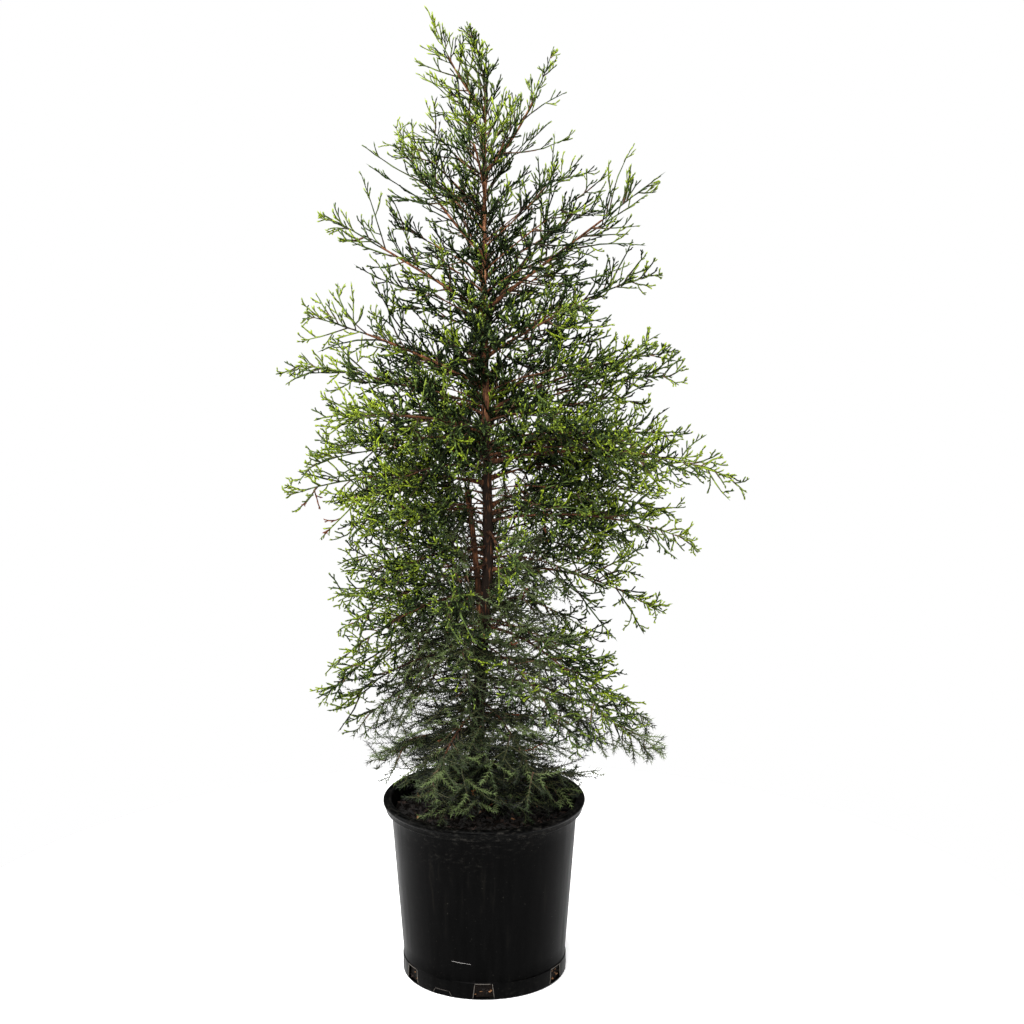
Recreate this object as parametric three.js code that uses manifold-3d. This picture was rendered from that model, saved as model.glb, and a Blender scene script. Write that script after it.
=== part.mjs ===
// Young eastern red cedar growing in a black nursery pot.
// Millimetres, +Z up. The origin is the centre of the pot's underside and -Y faces the viewer.
// The trunk stands on the soil, boughs leave it in a spiral, and each bough ends in one mass of
// foliage: a stem with side twigs and slim sprays, grown by a seeded rule inside its own space.

import * as THREE from "three";
import { mergeVertices } from "three/addons/utils/BufferGeometryUtils.js";
import Module from "manifold-3d";

const wasm = await Module();
wasm.setup();

const { lerp, clamp, degToRad } = THREE.MathUtils;

// Clearance between pieces that seat on each other
const GAP = 0.3;

// Pot
const POT_HEIGHT = 256;
const POT_SIDES = 36;
const RIM_RADIUS = 141;
const RIM_HEIGHT = 12;
const RIM_ROUND = 4;
const WALL_TOP_RADIUS = 131;
const WALL_BASE_RADIUS = 114;
const WALL = 2.5;
const FLOOR = 3;
const FOOT_HEIGHT = 25;
const FOOT_STEP = 1.4;
const FOOT_ROUND = 3;
const DRAIN_COUNT = 6;
const DRAIN_BASE_WIDTH = 29;
const DRAIN_TOP_WIDTH = 24;
const DRAIN_TOP = 24;
const NOTCH_COUNT = 3;
const NOTCH_TURN = degToRad(-30);
const NOTCH_BASE_WIDTH = 32;
const NOTCH_TOP_WIDTH = 22;
const NOTCH_TOP = 9;

// Soil
const SOIL_DROP = 22;
const SOIL_TOP = POT_HEIGHT - SOIL_DROP;

// Trunk: height, sideways place of its axis, radius
const TRUNK_SIDES = 10;
const TRUNK_TOP = 1214;
const ROOT_FLARE = 16;
const TRUNK = [
  [SOIL_TOP + GAP, -14, ROOT_FLARE],
  [SOIL_TOP + 12, -13.5, 12.5],
  [SOIL_TOP + 45, -12, 10.5],
  [410, -6, 8.8],
  [600, 7, 7],
  [905, 2, 4.6],
  [TRUNK_TOP, 4, 2.2],
];

// Crown outline: height of a bough's tip, reach to the left, reach to the right, rise per reach
const CROWN = [
  [262, 118, 128, -0.12],
  [320, 180, 255, -0.48],
  [420, 240, 225, -0.42],
  [520, 200, 245, -0.25],
  [620, 240, 300, -0.1],
  [720, 272, 376, -0.02],
  [820, 285, 280, 0.2],
  [920, 250, 255, 0.35],
  [1020, 230, 225, 0.5],
  [1120, 205, 245, 0.75],
  [1220, 130, 150, 1.2],
  [1334, 72, 66, 1.85],
];
const DEPTH_SHARE = 0.94;
const TIP_LOW = CROWN[0][0];
const TIP_HIGH = CROWN.at(-1)[0];

// Boughs
const BOUGH_COUNT = 26;
const BOUGH_SIDES = 5;
const TIP_CROWDING = 1.25;
const DIVERGENCE = degToRad(137.5);
const LAST_AZIMUTH = degToRad(176);
const SIDE_PULL = 0.25;
const ARCH_LEVEL = 0.15;
const ARCH_PER_RISE = 0.2;
const SIDE_BEND = 0.2;
const BARE_SHARE = 0.18;
const BARE_STEPS = 2;
const STEM_STEPS = 6;
const BOUGH_RADIUS = 1.3;
const BOUGH_RADIUS_PER_LENGTH = 0.0062;
const BOUGH_TAPER = 0.66;
const STEM_TIP_RADIUS = 0.8;

// Second upright stem, close against the trunk's left side
const SECOND_FOOT = 492;
const SECOND_HEAD = 838;
const SECOND_AZIMUTH = degToRad(182);
const SECOND_OFFSET = 13.8;
const SECOND_REACH = 62;
const SECOND_RADIUS = 5.2;
const SECOND_BARE = 0.7;

// Leader above the trunk's tip
const LEADER_TIP = new THREE.Vector3(-20, -6, 1314);

// Twigs and sprays of a mass
const TWIG_SIDES = 3;
const TWIG_SPACING = 27;
const TWIG_MOST = 10;
const TWIG_LEAST = 4;
const TWIG_ANGLE_INNER = degToRad(52);
const TWIG_ANGLE_OUTER = degToRad(34);
const TWIG_ROLL_SPREAD = degToRad(140);
const TWIG_LENGTH = 40;
const TWIG_SHARE = 0.5;
const TWIG_SHORTEST = 38;
const TWIG_ROOT_SHARE = 0.3;
const TWIG_RADIUS = 1.7;
const TWIG_TIP_RADIUS = 0.5;
const TWIG_LIFT_LOW = -0.14;
const TWIG_LIFT_HIGH = 0.24;
const SPRAY_PITCH = 21;
const SPRAY_ANGLE_INNER = degToRad(50);
const SPRAY_ANGLE_OUTER = degToRad(24);
const SPRAY_LENGTH = 40;
const SPRAY_END_SHARE = 0.6;
const STEM_SPRAYS_FROM = 0.55;
const OWN_SPACE_MARGIN = 3;
const LIMB_MARGIN = 2.5;
const OUTLINE_SLACK = 6;

const UP = new THREE.Vector3(0, 0, 1);
const RIGHT = new THREE.Vector3(1, 0, 0);
const RING_TURN = 0.35;
const LEVEL_RING = { along: UP, across: RIGHT, over: new THREE.Vector3(0, 1, 0) };

// A repeatable stream of numbers from 0 to 1 for one limb
function numberStream(seed) {
  let state = Math.imul(seed + 11, 2654435761) >>> 0;
  return () => {
    state = (Math.imul(state, 1664525) + 1013904223) >>> 0;
    return state / 4294967296;
  };
}

// Row of a table whose first column is a height, interpolated at that height
function rowAt(table, height) {
  const last = table.length - 1;
  let i = 0;
  while (i < last - 1 && table[i + 1][0] < height) i += 1;
  const share = clamp((height - table[i][0]) / (table[i + 1][0] - table[i][0]), 0, 1);
  return table[i].map((value, column) => lerp(value, table[i + 1][column], share));
}

function trunkPoint(height) {
  return new THREE.Vector3(rowAt(TRUNK, height)[1], 0, height);
}

function trunkRadius(height) {
  return rowAt(TRUNK, height)[2];
}

// How far the crown reaches from the trunk at a height, towards an azimuth counted from the right
function crownReach(height, azimuth) {
  const [, left, right] = rowAt(CROWN, height);
  const across = Math.cos(azimuth) > 0 ? right : left;
  const deep = ((left + right) / 2) * DEPTH_SHARE;
  const towards = Math.cos(azimuth) ** 2;
  return across * towards + deep * (1 - towards);
}

// Solids

function solidOf(geometry) {
  const plain = geometry.clone();
  plain.deleteAttribute("normal");
  plain.deleteAttribute("uv");
  const merged = mergeVertices(plain, 1e-4);
  return new wasm.Manifold(
    new wasm.Mesh({
      numProp: 3,
      vertProperties: merged.attributes.position.array,
      triVerts: new Uint32Array(merged.index.array),
    }),
  );
}

function geometryOf(solid) {
  const mesh = solid.getMesh();
  return new THREE.BufferGeometry()
    .setAttribute("position", new THREE.BufferAttribute(mesh.vertProperties, 3))
    .setIndex(new THREE.BufferAttribute(mesh.triVerts, 1));
}

// The largest body of a solid, without loose scraps
function mainBody(solid) {
  return solid.decompose().reduce((best, body) => (body.volume() > best.volume() ? body : best));
}

// The two directions square to a limb at one point of its axis
function ringDirections(axis, i, reference) {
  const before = axis[Math.max(i - 1, 0)];
  const after = axis[Math.min(i + 1, axis.length - 1)];
  const along = after.clone().sub(before).normalize();
  const across = new THREE.Vector3().crossVectors(reference, along).normalize();
  const over = new THREE.Vector3().crossVectors(along, across);
  return { along, across, over };
}

function ringOutward({ across, over }, turn) {
  return across.clone().multiplyScalar(Math.cos(turn)).addScaledVector(over, Math.sin(turn));
}

// A closed limb: one ring of points round each point of its axis, with flat ends.
// Where sprayTip gives a point for a face, that face rises to it as a pointed spray.
function limbGeometry(axis, radii, sides, { level = false, sprayTip = () => null } = {}) {
  const chord = axis.at(-1).clone().sub(axis[0]).normalize();
  const reference = Math.abs(chord.z) > 0.8 ? RIGHT : UP;
  const rings = axis.map((_, i) => (level ? LEVEL_RING : ringDirections(axis, i, reference)));
  const turnOf = (k) => RING_TURN + (2 * Math.PI * k) / sides;
  const places = [];
  axis.forEach((point, i) => {
    for (let k = 0; k < sides; k += 1) {
      const place = point.clone().addScaledVector(ringOutward(rings[i], turnOf(k)), radii[i]);
      places.push(place.x, place.y, place.z);
    }
  });
  const faces = [];
  for (let i = 0; i + 1 < axis.length; i += 1) {
    for (let k = 0; k < sides; k += 1) {
      const a = i * sides + k;
      const b = i * sides + ((k + 1) % sides);
      const tip = sprayTip(i, rings[i].along, ringOutward(rings[i], turnOf(k + 0.5)));
      if (tip) {
        const t = places.length / 3;
        places.push(tip.x, tip.y, tip.z);
        faces.push(a, b, t, b, b + sides, t, b + sides, a + sides, t, a + sides, a, t);
      } else {
        faces.push(a, b, b + sides, a, b + sides, a + sides);
      }
    }
  }
  const end = (axis.length - 1) * sides;
  for (let k = 1; k + 1 < sides; k += 1) {
    faces.push(0, k + 1, k, end, end + k, end + k + 1);
  }
  return new THREE.BufferGeometry()
    .setAttribute("position", new THREE.Float32BufferAttribute(places, 3))
    .setIndex(faces);
}

// Pot and soil

// Radius of the pot's outside at a height on the straight wall
function wallRadius(height) {
  const share = (height - FOOT_HEIGHT) / (POT_HEIGHT - FOOT_HEIGHT);
  return lerp(WALL_BASE_RADIUS, WALL_TOP_RADIUS, share);
}

function potGeometry() {
  const lipFoot = POT_HEIGHT - RIM_HEIGHT;
  const footRadius = WALL_BASE_RADIUS + FOOT_STEP;
  const profile = [
    [0, 0],
    [footRadius - FOOT_ROUND, 0],
    [footRadius, FOOT_ROUND],
    [footRadius, FOOT_HEIGHT - FOOT_STEP],
    [WALL_BASE_RADIUS, FOOT_HEIGHT],
    [wallRadius(lipFoot - RIM_ROUND), lipFoot - RIM_ROUND],
    [RIM_RADIUS - RIM_ROUND / 2, lipFoot],
    [RIM_RADIUS, lipFoot + RIM_ROUND],
    [RIM_RADIUS, POT_HEIGHT - RIM_ROUND],
    [RIM_RADIUS - RIM_ROUND, POT_HEIGHT],
    [WALL_TOP_RADIUS, POT_HEIGHT],
    [wallRadius(POT_HEIGHT - RIM_ROUND) - WALL, POT_HEIGHT - RIM_ROUND],
    [wallRadius(FOOT_HEIGHT) - WALL, FOOT_HEIGHT],
    [wallRadius(FOOT_HEIGHT) - WALL, FLOOR],
    [0, FLOOR],
  ].map(([radius, height]) => new THREE.Vector2(radius, height));
  const turned = new THREE.LatheGeometry(profile, POT_SIDES);
  return turned.rotateX(Math.PI / 2);
}

// A block that cuts a trapezoid through the wall at a turn counted from the front
function wallCutter(baseWidth, topWidth, bottom, top, turn) {
  const outline = new THREE.Shape([
    new THREE.Vector2(-baseWidth / 2, bottom),
    new THREE.Vector2(baseWidth / 2, bottom),
    new THREE.Vector2(topWidth / 2, top),
    new THREE.Vector2(-topWidth / 2, top),
  ]);
  const deep = 6 * WALL;
  const block = new THREE.ExtrudeGeometry(outline, { depth: deep, bevelEnabled: false });
  block.rotateX(Math.PI / 2);
  block.translate(0, deep / 2 - WALL_BASE_RADIUS, 0);
  return solidOf(block.rotateZ(turn));
}

function pot() {
  let solid = solidOf(potGeometry());
  for (let k = 0; k < DRAIN_COUNT; k += 1) {
    const turn = (2 * Math.PI * k) / DRAIN_COUNT;
    solid = solid.subtract(wallCutter(DRAIN_BASE_WIDTH, DRAIN_TOP_WIDTH, FLOOR, DRAIN_TOP, turn));
  }
  for (let k = 0; k < NOTCH_COUNT; k += 1) {
    const turn = NOTCH_TURN + (2 * Math.PI * k) / NOTCH_COUNT;
    solid = solid.subtract(wallCutter(NOTCH_BASE_WIDTH, NOTCH_TOP_WIDTH, -WALL, NOTCH_TOP, turn));
  }
  return geometryOf(solid);
}

function soil() {
  const inside = (height) => wallRadius(height) - WALL - GAP;
  const profile = [
    [0, FLOOR + GAP],
    [inside(FOOT_HEIGHT), FLOOR + GAP],
    [inside(FOOT_HEIGHT), FOOT_HEIGHT],
    [inside(SOIL_TOP), SOIL_TOP],
    [0, SOIL_TOP],
  ].map(([radius, height]) => new THREE.Vector2(radius, height));
  return new THREE.LatheGeometry(profile, POT_SIDES).rotateX(Math.PI / 2);
}

// Trunk

function trunkLimb(extra) {
  const axis = TRUNK.map(([height]) => trunkPoint(height));
  const radii = TRUNK.map(([, , radius]) => radius + extra);
  return limbGeometry(axis, radii, TRUNK_SIDES, { level: true });
}

// Boughs: the axis of each runs from the trunk's axis to the crown's outline

function curvePoints(curve, from, to, steps) {
  return Array.from({ length: steps + 1 }, (_, k) => curve.getPoint(lerp(from, to, k / steps)));
}

function spiralBough(index) {
  const draw = numberStream(index);
  const share = (index / (BOUGH_COUNT - 1)) ** TIP_CROWDING;
  const tipHeight = lerp(TIP_LOW, TIP_HIGH, share);
  const turn = LAST_AZIMUTH - (BOUGH_COUNT - 1 - index) * DIVERGENCE;
  const azimuth = turn - SIDE_PULL * Math.sin(2 * turn);
  const reach = crownReach(tipHeight, azimuth);
  const rise = rowAt(CROWN, tipHeight)[3];
  const outward = new THREE.Vector3(Math.cos(azimuth), Math.sin(azimuth), 0);
  const root = trunkPoint(tipHeight - rise * reach);
  const tip = outward.clone().multiplyScalar(reach).setZ(tipHeight);
  const length = tip.distanceTo(root);
  const sideways = new THREE.Vector3().crossVectors(UP, outward);
  const arch = ARCH_LEVEL - ARCH_PER_RISE * rise;
  const middle = root
    .clone()
    .lerp(tip, 0.5)
    .addScaledVector(UP, arch * length)
    .addScaledVector(sideways, (draw() - 0.5) * SIDE_BEND * length);
  return {
    name: String(index + 1).padStart(2, "0"),
    curve: new THREE.QuadraticBezierCurve3(root, middle, tip),
    bare: BARE_SHARE,
    rootRadius: BOUGH_RADIUS + BOUGH_RADIUS_PER_LENGTH * length,
    lift: lerp(TWIG_LIFT_LOW, TWIG_LIFT_HIGH, share),
    draw,
  };
}

function secondStem() {
  const outward = new THREE.Vector3(Math.cos(SECOND_AZIMUTH), Math.sin(SECOND_AZIMUTH), 0);
  const beside = (height, offset) => trunkPoint(height).addScaledVector(outward, offset);
  const root = trunkPoint(SECOND_FOOT);
  const shoulder = beside(lerp(SECOND_FOOT, SECOND_HEAD, 0.16), SECOND_OFFSET);
  const neck = beside(lerp(SECOND_FOOT, SECOND_HEAD, 0.6), SECOND_OFFSET);
  const head = beside(SECOND_HEAD, SECOND_REACH);
  return {
    name: "second_stem",
    curve: new THREE.CubicBezierCurve3(root, shoulder, neck, head),
    bare: SECOND_BARE,
    rootRadius: SECOND_RADIUS,
    lift: TWIG_LIFT_HIGH,
    draw: numberStream(BOUGH_COUNT),
  };
}

function leader() {
  const root = trunkPoint(TRUNK_TOP);
  const middle = root.clone().lerp(LEADER_TIP, 0.5).setX(root.x);
  return {
    name: "leader",
    curve: new THREE.QuadraticBezierCurve3(root, middle, LEADER_TIP),
    bare: 0,
    rootRadius: trunkRadius(TRUNK_TOP),
    lift: TWIG_LIFT_HIGH,
    draw: numberStream(BOUGH_COUNT + 1),
  };
}

const limbs = Array.from({ length: BOUGH_COUNT }, (_, index) => spiralBough(index));
limbs.push(secondStem(), leader());
for (const limb of limbs) {
  limb.axis = [
    ...curvePoints(limb.curve, 0, limb.bare, BARE_STEPS),
    ...curvePoints(limb.curve, limb.bare, 1, STEM_STEPS).slice(1),
  ];
}

function limbRadius(limb, share) {
  const neck = limb.rootRadius * BOUGH_TAPER;
  if (share < limb.bare) return lerp(limb.rootRadius, neck, share / limb.bare);
  return lerp(neck, STEM_TIP_RADIUS, (share - limb.bare) / (1 - limb.bare));
}

// The bare inner part of a bough, as far as the place where it enters its mass
function bareWood(limb, extra) {
  const axis = curvePoints(limb.curve, 0, limb.bare, BARE_STEPS);
  const radii = axis.map((_, k) => limbRadius(limb, (limb.bare * k) / BARE_STEPS) + extra);
  return solidOf(limbGeometry(axis, radii, BOUGH_SIDES));
}

// Space of a mass

const nearest = new THREE.Vector3();

function distanceToAxis(point, axis) {
  let least = Infinity;
  for (let i = 0; i + 1 < axis.length; i += 1) {
    new THREE.Line3(axis[i], axis[i + 1]).closestPointToPoint(point, true, nearest);
    least = Math.min(least, nearest.distanceTo(point));
  }
  return least;
}

function clearOfPot(point) {
  const radius = Math.hypot(point.x, point.y);
  if (point.z > POT_HEIGHT + LIMB_MARGIN) return true;
  if (radius > RIM_RADIUS + LIMB_MARGIN) return point.z > SOIL_TOP;
  return radius < wallRadius(SOIL_TOP) - WALL - LIMB_MARGIN && point.z > SOIL_TOP + LIMB_MARGIN;
}

function clearOfTrunk(point) {
  if (point.z > TRUNK_TOP + LIMB_MARGIN) return true;
  return point.distanceTo(trunkPoint(point.z)) > trunkRadius(point.z) + LIMB_MARGIN;
}

function inCrown(point) {
  const reach = crownReach(point.z, Math.atan2(point.y, point.x)) + OUTLINE_SLACK;
  return point.z < TIP_HIGH + OUTLINE_SLACK && Math.hypot(point.x, point.y) < reach;
}

// A mass holds the points that lie nearer to its own limb than to any other
function inOwnSpace(point, limb) {
  const own = distanceToAxis(point, limb.axis) + OWN_SPACE_MARGIN;
  return limbs.every((other) => other === limb || distanceToAxis(point, other.axis) > own);
}

function fits(point, limb) {
  const wood = limb.bare > 0 ? limb.axis.slice(0, BARE_STEPS + 1) : [];
  return (
    inCrown(point) &&
    clearOfPot(point) &&
    clearOfTrunk(point) &&
    distanceToAxis(point, wood) > limb.rootRadius + LIMB_MARGIN &&
    inOwnSpace(point, limb)
  );
}

// Growth of a mass

// A direction that leaves an axis at an angle, rolled round it from level
function leaving(along, angle, roll) {
  const level = new THREE.Vector3().crossVectors(along, UP).normalize();
  const over = new THREE.Vector3().crossVectors(level, along);
  return along
    .clone()
    .multiplyScalar(Math.cos(angle))
    .addScaledVector(level, Math.sin(angle) * Math.cos(roll))
    .addScaledVector(over, Math.sin(angle) * Math.sin(roll));
}

// Side twigs of a limb's stem: the curve that each follows and its length
function sideTwigs(limb) {
  const stemLength = limb.curve.getLength() * (1 - limb.bare);
  const count = clamp(Math.round(stemLength / TWIG_SPACING), TWIG_LEAST, TWIG_MOST);
  const twigs = [];
  for (let k = 0; k < count; k += 1) {
    const place = (k + 0.3 + 0.4 * limb.draw()) / count;
    const share = lerp(limb.bare, 1, place);
    const side = k % 2 ? Math.PI : 0;
    const roll = side + (limb.draw() - 0.5) * TWIG_ROLL_SPREAD;
    const angle = lerp(TWIG_ANGLE_INNER, TWIG_ANGLE_OUTER, place);
    const full = TWIG_LENGTH + TWIG_SHARE * (1 - place) * stemLength;
    const length = full * (0.8 + 0.4 * limb.draw());
    const root = limb.curve.getPoint(share);
    const along = leaving(limb.curve.getTangent(share), angle, roll);
    const middle = root.clone().addScaledVector(along, length / 2);
    const tip = root.clone().addScaledVector(along, length).addScaledVector(UP, limb.lift * length);
    twigs.push({ curve: new THREE.QuadraticBezierCurve3(root, middle, tip), length });
  }
  return twigs;
}

// How much of a twig lies in its mass's own space, counted from its root
function twigReach(twig, limb) {
  let reach = TWIG_ROOT_SHARE;
  for (let share = reach; share <= 1.001; share += 0.07) {
    if (!fits(twig.curve.getPoint(share), limb)) break;
    reach = share;
  }
  return Math.min(reach, 1);
}

// Tips of the sprays along a twig: short by the root, longest in the middle
function sprayTips(limb, axis, from) {
  const last = axis.length - 1;
  return (i, along, outward) => {
    const length = SPRAY_LENGTH * (0.75 + 0.5 * limb.draw());
    if (i < from) return null;
    const share = (i + 0.5) / last;
    const full = length * lerp(1, SPRAY_END_SHARE, Math.abs(2 * share - 1));
    const angle = lerp(SPRAY_ANGLE_INNER, SPRAY_ANGLE_OUTER, share);
    const tip = axis[i]
      .clone()
      .lerp(axis[i + 1], 0.5)
      .addScaledVector(along, full * Math.cos(angle))
      .addScaledVector(outward, full * Math.sin(angle));
    return fits(tip, limb) ? tip : null;
  };
}

// A twig with its sprays: a three-sided tapering limb whose sides rise into pointed sprays
function twigSolid(twig, limb) {
  const reach = twigReach(twig, limb);
  const steps = Math.round((reach * twig.length) / SPRAY_PITCH);
  const axis = curvePoints(twig.curve, 0, reach, Math.max(steps, 1));
  const radii = axis.map((_, k) => lerp(TWIG_RADIUS, TWIG_TIP_RADIUS, k / (axis.length - 1)));
  const geometry = limbGeometry(axis, radii, TWIG_SIDES, { sprayTip: sprayTips(limb, axis, 1) });
  return reach * twig.length < TWIG_SHORTEST ? null : solidOf(geometry);
}

function stemSolid(limb) {
  const start = limb.bare + GAP / limb.curve.getLength();
  const axis = curvePoints(limb.curve, start, 1, STEM_STEPS);
  const radii = axis.map((_, k) => limbRadius(limb, lerp(start, 1, k / STEM_STEPS)));
  const from = Math.round(STEM_SPRAYS_FROM * STEM_STEPS);
  return solidOf(limbGeometry(axis, radii, TWIG_SIDES, { sprayTip: sprayTips(limb, axis, from) }));
}

function massSolid(limb) {
  const twigs = sideTwigs(limb).map((twig) => twigSolid(twig, limb));
  const whole = twigs.filter(Boolean).reduce((mass, twig) => mass.add(twig), stemSolid(limb));
  return mainBody(whole);
}

// Assembly

const potPlastic = new THREE.MeshStandardMaterial({ color: 0x141414, roughness: 0.5, metalness: 0 });
const pottingSoil = new THREE.MeshStandardMaterial({ color: 0x241a14, roughness: 1, metalness: 0 });
const bark = new THREE.MeshStandardMaterial({ color: 0x5a3d2e, roughness: 0.95, metalness: 0 });
const foliage = new THREE.MeshStandardMaterial({ color: 0x4a6b33, roughness: 0.8, metalness: 0 });

const cedar = new THREE.Group();

function place(name, geometry, material) {
  const mesh = new THREE.Mesh(geometry, material);
  mesh.name = name;
  cedar.add(mesh);
}

place("pot", pot(), potPlastic);
place("soil", soil(), pottingSoil);
place("trunk", trunkLimb(0), bark);

// A bough seats on the trunk, or on the second stem where that stands in its way
const roomRound = (sides) => GAP / Math.cos(Math.PI / sides);
const trunkRoom = solidOf(trunkLimb(roomRound(TRUNK_SIDES)));
const second = limbs.find((limb) => limb.name === "second_stem");
const seats = trunkRoom.add(bareWood(second, roomRound(BOUGH_SIDES)));

for (const limb of limbs) {
  if (limb === second) {
    place(limb.name, geometryOf(mainBody(bareWood(limb, 0).subtract(trunkRoom))), bark);
  } else if (limb.bare > 0) {
    place(`bough_${limb.name}`, geometryOf(mainBody(bareWood(limb, 0).subtract(seats))), bark);
  }
  place(`foliage_${limb.name}`, geometryOf(massSolid(limb)), foliage);
}

export default cedar;
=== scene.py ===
import math
from dataclasses import dataclass, replace
from typing import Callable

import bpy
import numpy as np
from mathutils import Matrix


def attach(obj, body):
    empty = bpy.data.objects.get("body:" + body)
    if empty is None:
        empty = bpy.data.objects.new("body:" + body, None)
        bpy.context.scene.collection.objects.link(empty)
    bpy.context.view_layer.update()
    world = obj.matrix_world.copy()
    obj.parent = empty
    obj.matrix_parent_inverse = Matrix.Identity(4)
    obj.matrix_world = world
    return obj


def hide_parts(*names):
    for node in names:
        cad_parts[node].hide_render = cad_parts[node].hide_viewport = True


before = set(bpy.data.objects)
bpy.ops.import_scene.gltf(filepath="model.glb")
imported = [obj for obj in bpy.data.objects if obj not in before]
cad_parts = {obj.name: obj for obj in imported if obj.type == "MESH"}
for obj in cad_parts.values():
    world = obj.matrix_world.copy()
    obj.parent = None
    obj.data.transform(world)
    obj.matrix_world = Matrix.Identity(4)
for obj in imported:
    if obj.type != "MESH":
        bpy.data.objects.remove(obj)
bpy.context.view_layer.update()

# Sizes are millimetres in the part's own frame, and meshes are scaled to metres when they are made.
# A list of pairs is a graph: each pair holds a place, mostly a height, and the value there.
MM = 0.001
UP = np.array([0.0, 0.0, 1.0])
RIGHT = np.array([1.0, 0.0, 0.0])
STEEP = 0.8
CURVE_SAMPLES = 201
rng = np.random.default_rng(23)


@dataclass
class Openings:
    """Equal trapezoid openings round the pot's foot, each with a raised edge."""
    count: int
    first_turn: float
    base_width: float
    top_width: float
    low: float
    high: float
    depth: float
    edge_low: float
    edge_radius: float

    def turns(self):
        return [self.first_turn + 2 * math.pi * k / self.count for k in range(self.count)]


@dataclass
class GrowthRule:
    """How side shoots stand along their parents. Each list has pairs of a height and the value there."""
    fewest: int
    spacing: list
    span: tuple
    root_angle: list
    tip_angle: list
    length: list
    length_share: float
    roll_spread: list
    lift: float


# Pot, with the ring that it stands on measured inward from the foot's edge
POT_HEIGHT = 256
POT_SIDES = 160
RIM_RADIUS = 141
RIM_BAND_RADIUS = 137.6
RIM_HEIGHT = 16
RIM_ROLL = 4.2
BAND_EDGE = 1.4
LIP_ROUND = 2.6
WALL_TOP_RADIUS = 131
WALL_BASE_RADIUS = 114
WALL = 2.5
WALL_RINGS = 12
FLOOR = 3
FOOT_HEIGHT = 25
FOOT_STEP = 1.4
FOOT_RADIUS = WALL_BASE_RADIUS + FOOT_STEP
FOOT_ROUND = 3
FOOT_EDGE = 0.7
STANDING_RING = (12, 9)
UNDERSIDE_RISE = 0.6
SHARP_ANGLE = math.radians(38)
CUTTER_PROUD = 8
DRAINS = Openings(
    count=6, first_turn=0, base_width=29, top_width=24, low=3, high=24, depth=4 * WALL,
    edge_low=3, edge_radius=0.5,
)
NOTCHES = Openings(
    count=3, first_turn=math.radians(-30), base_width=32, top_width=22, low=-1, high=9, depth=1.6,
    edge_low=0.25, edge_radius=0.25,
)
EDGE_STEPS = 6
LINE_SIDES = 5
SCRATCH_HEIGHT = 55
SCRATCH_TURN = math.radians(-15)
SCRATCH_LENGTH = 28
SCRATCH_DROP = 2
SCRATCH_STEPS = 10
SCRATCH_RADIUS = 0.22

# Soil
SOIL_TOP = POT_HEIGHT - 22
SOIL_GAP = 0.3
SOIL_DIP = 2
SOIL_ROUGHNESS = (-2.5, 4.0)
SOIL_SIDES = 96
SOIL_RINGS = 40
CHIPS_ON_TOP = 900
CHIPS_PER_DRAIN = 22
CHIP_SIZES = ([2.5, 1.2, 0.6], [8, 3.5, 1.6])
DRAIN_CHIP_SIZE = 0.6
CHIP_CORNERS = (0.6, 1.15)
CHIP_SWELL = 1.6
CHIP_LEVELLING = [1, 1, 0.35]
CHIP_TILT = 0.4
CHIP_MARGIN = 9
CHIP_HEIGHTS = (-1, 3)
DRAIN_CHIP_DEPTHS = (0, 2)
DRAIN_CHIP_RISE = 3
BLOCK_QUADS = np.array([[0, 1, 3, 2], [4, 6, 7, 5], [0, 4, 5, 1], [2, 3, 7, 6], [0, 2, 6, 4], [1, 5, 7, 3]])

# Trunk: height, sideways place of its axis, radius
TRUNK_TOP = 1214
TRUNK = np.array([
    [SOIL_TOP + SOIL_GAP, -14, 16],
    [SOIL_TOP + 12, -13.5, 12.5],
    [SOIL_TOP + 45, -12, 10.5],
    [410, -6, 8.8],
    [600, 7, 7],
    [905, 2, 4.6],
    [TRUNK_TOP, 4, 2.2],
])
TRUNK_SLIMMING = [(800, 1), (1060, 0.66)]

# Crown outline: height of a bough's tip, reach to the left, reach to the right, rise per reach
CROWN = np.array([
    [262, 118, 128, -0.12],
    [320, 180, 255, -0.48],
    [420, 240, 225, -0.42],
    [520, 200, 245, -0.25],
    [620, 240, 300, -0.1],
    [720, 272, 376, -0.02],
    [820, 285, 280, 0.2],
    [920, 250, 255, 0.35],
    [1020, 230, 225, 0.5],
    [1120, 205, 245, 0.75],
    [1220, 130, 150, 1.2],
    [1334, 72, 66, 1.85],
])
DEPTH_SHARE = 0.94
TIP_LOW, TIP_HIGH = CROWN[0, 0], CROWN[-1, 0]

# Boughs
BOUGH_COUNT = 26
TIP_CROWDING = 1.25
DIVERGENCE = math.radians(137.5)
LAST_AZIMUTH = math.radians(176)
SIDE_PULL = 0.25
ARCH_LEVEL = 0.15
ARCH_PER_RISE = 0.2
SIDE_BEND = 0.2
BARE_SHARE = 0.18
BOUGH_RADIUS = 1.3
BOUGH_RADIUS_PER_LENGTH = 0.0062
BOUGH_TAPER = 0.66
STEM_TIP_RADIUS = 0.8

# Second upright stem, close against the trunk's left side
SECOND_FOOT = 492
SECOND_HEAD = 838
SECOND_BENDS = (0.16, 0.6)
SECOND_AZIMUTH = math.radians(182)
SECOND_OFFSET = 13.8
SECOND_REACH = 62
SECOND_RADIUS = 5.2
SECOND_BARE = 0.7

# Leader above the trunk's tip
LEADER_TIP = np.array([-20.0, -6.0, 1314.0])

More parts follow.
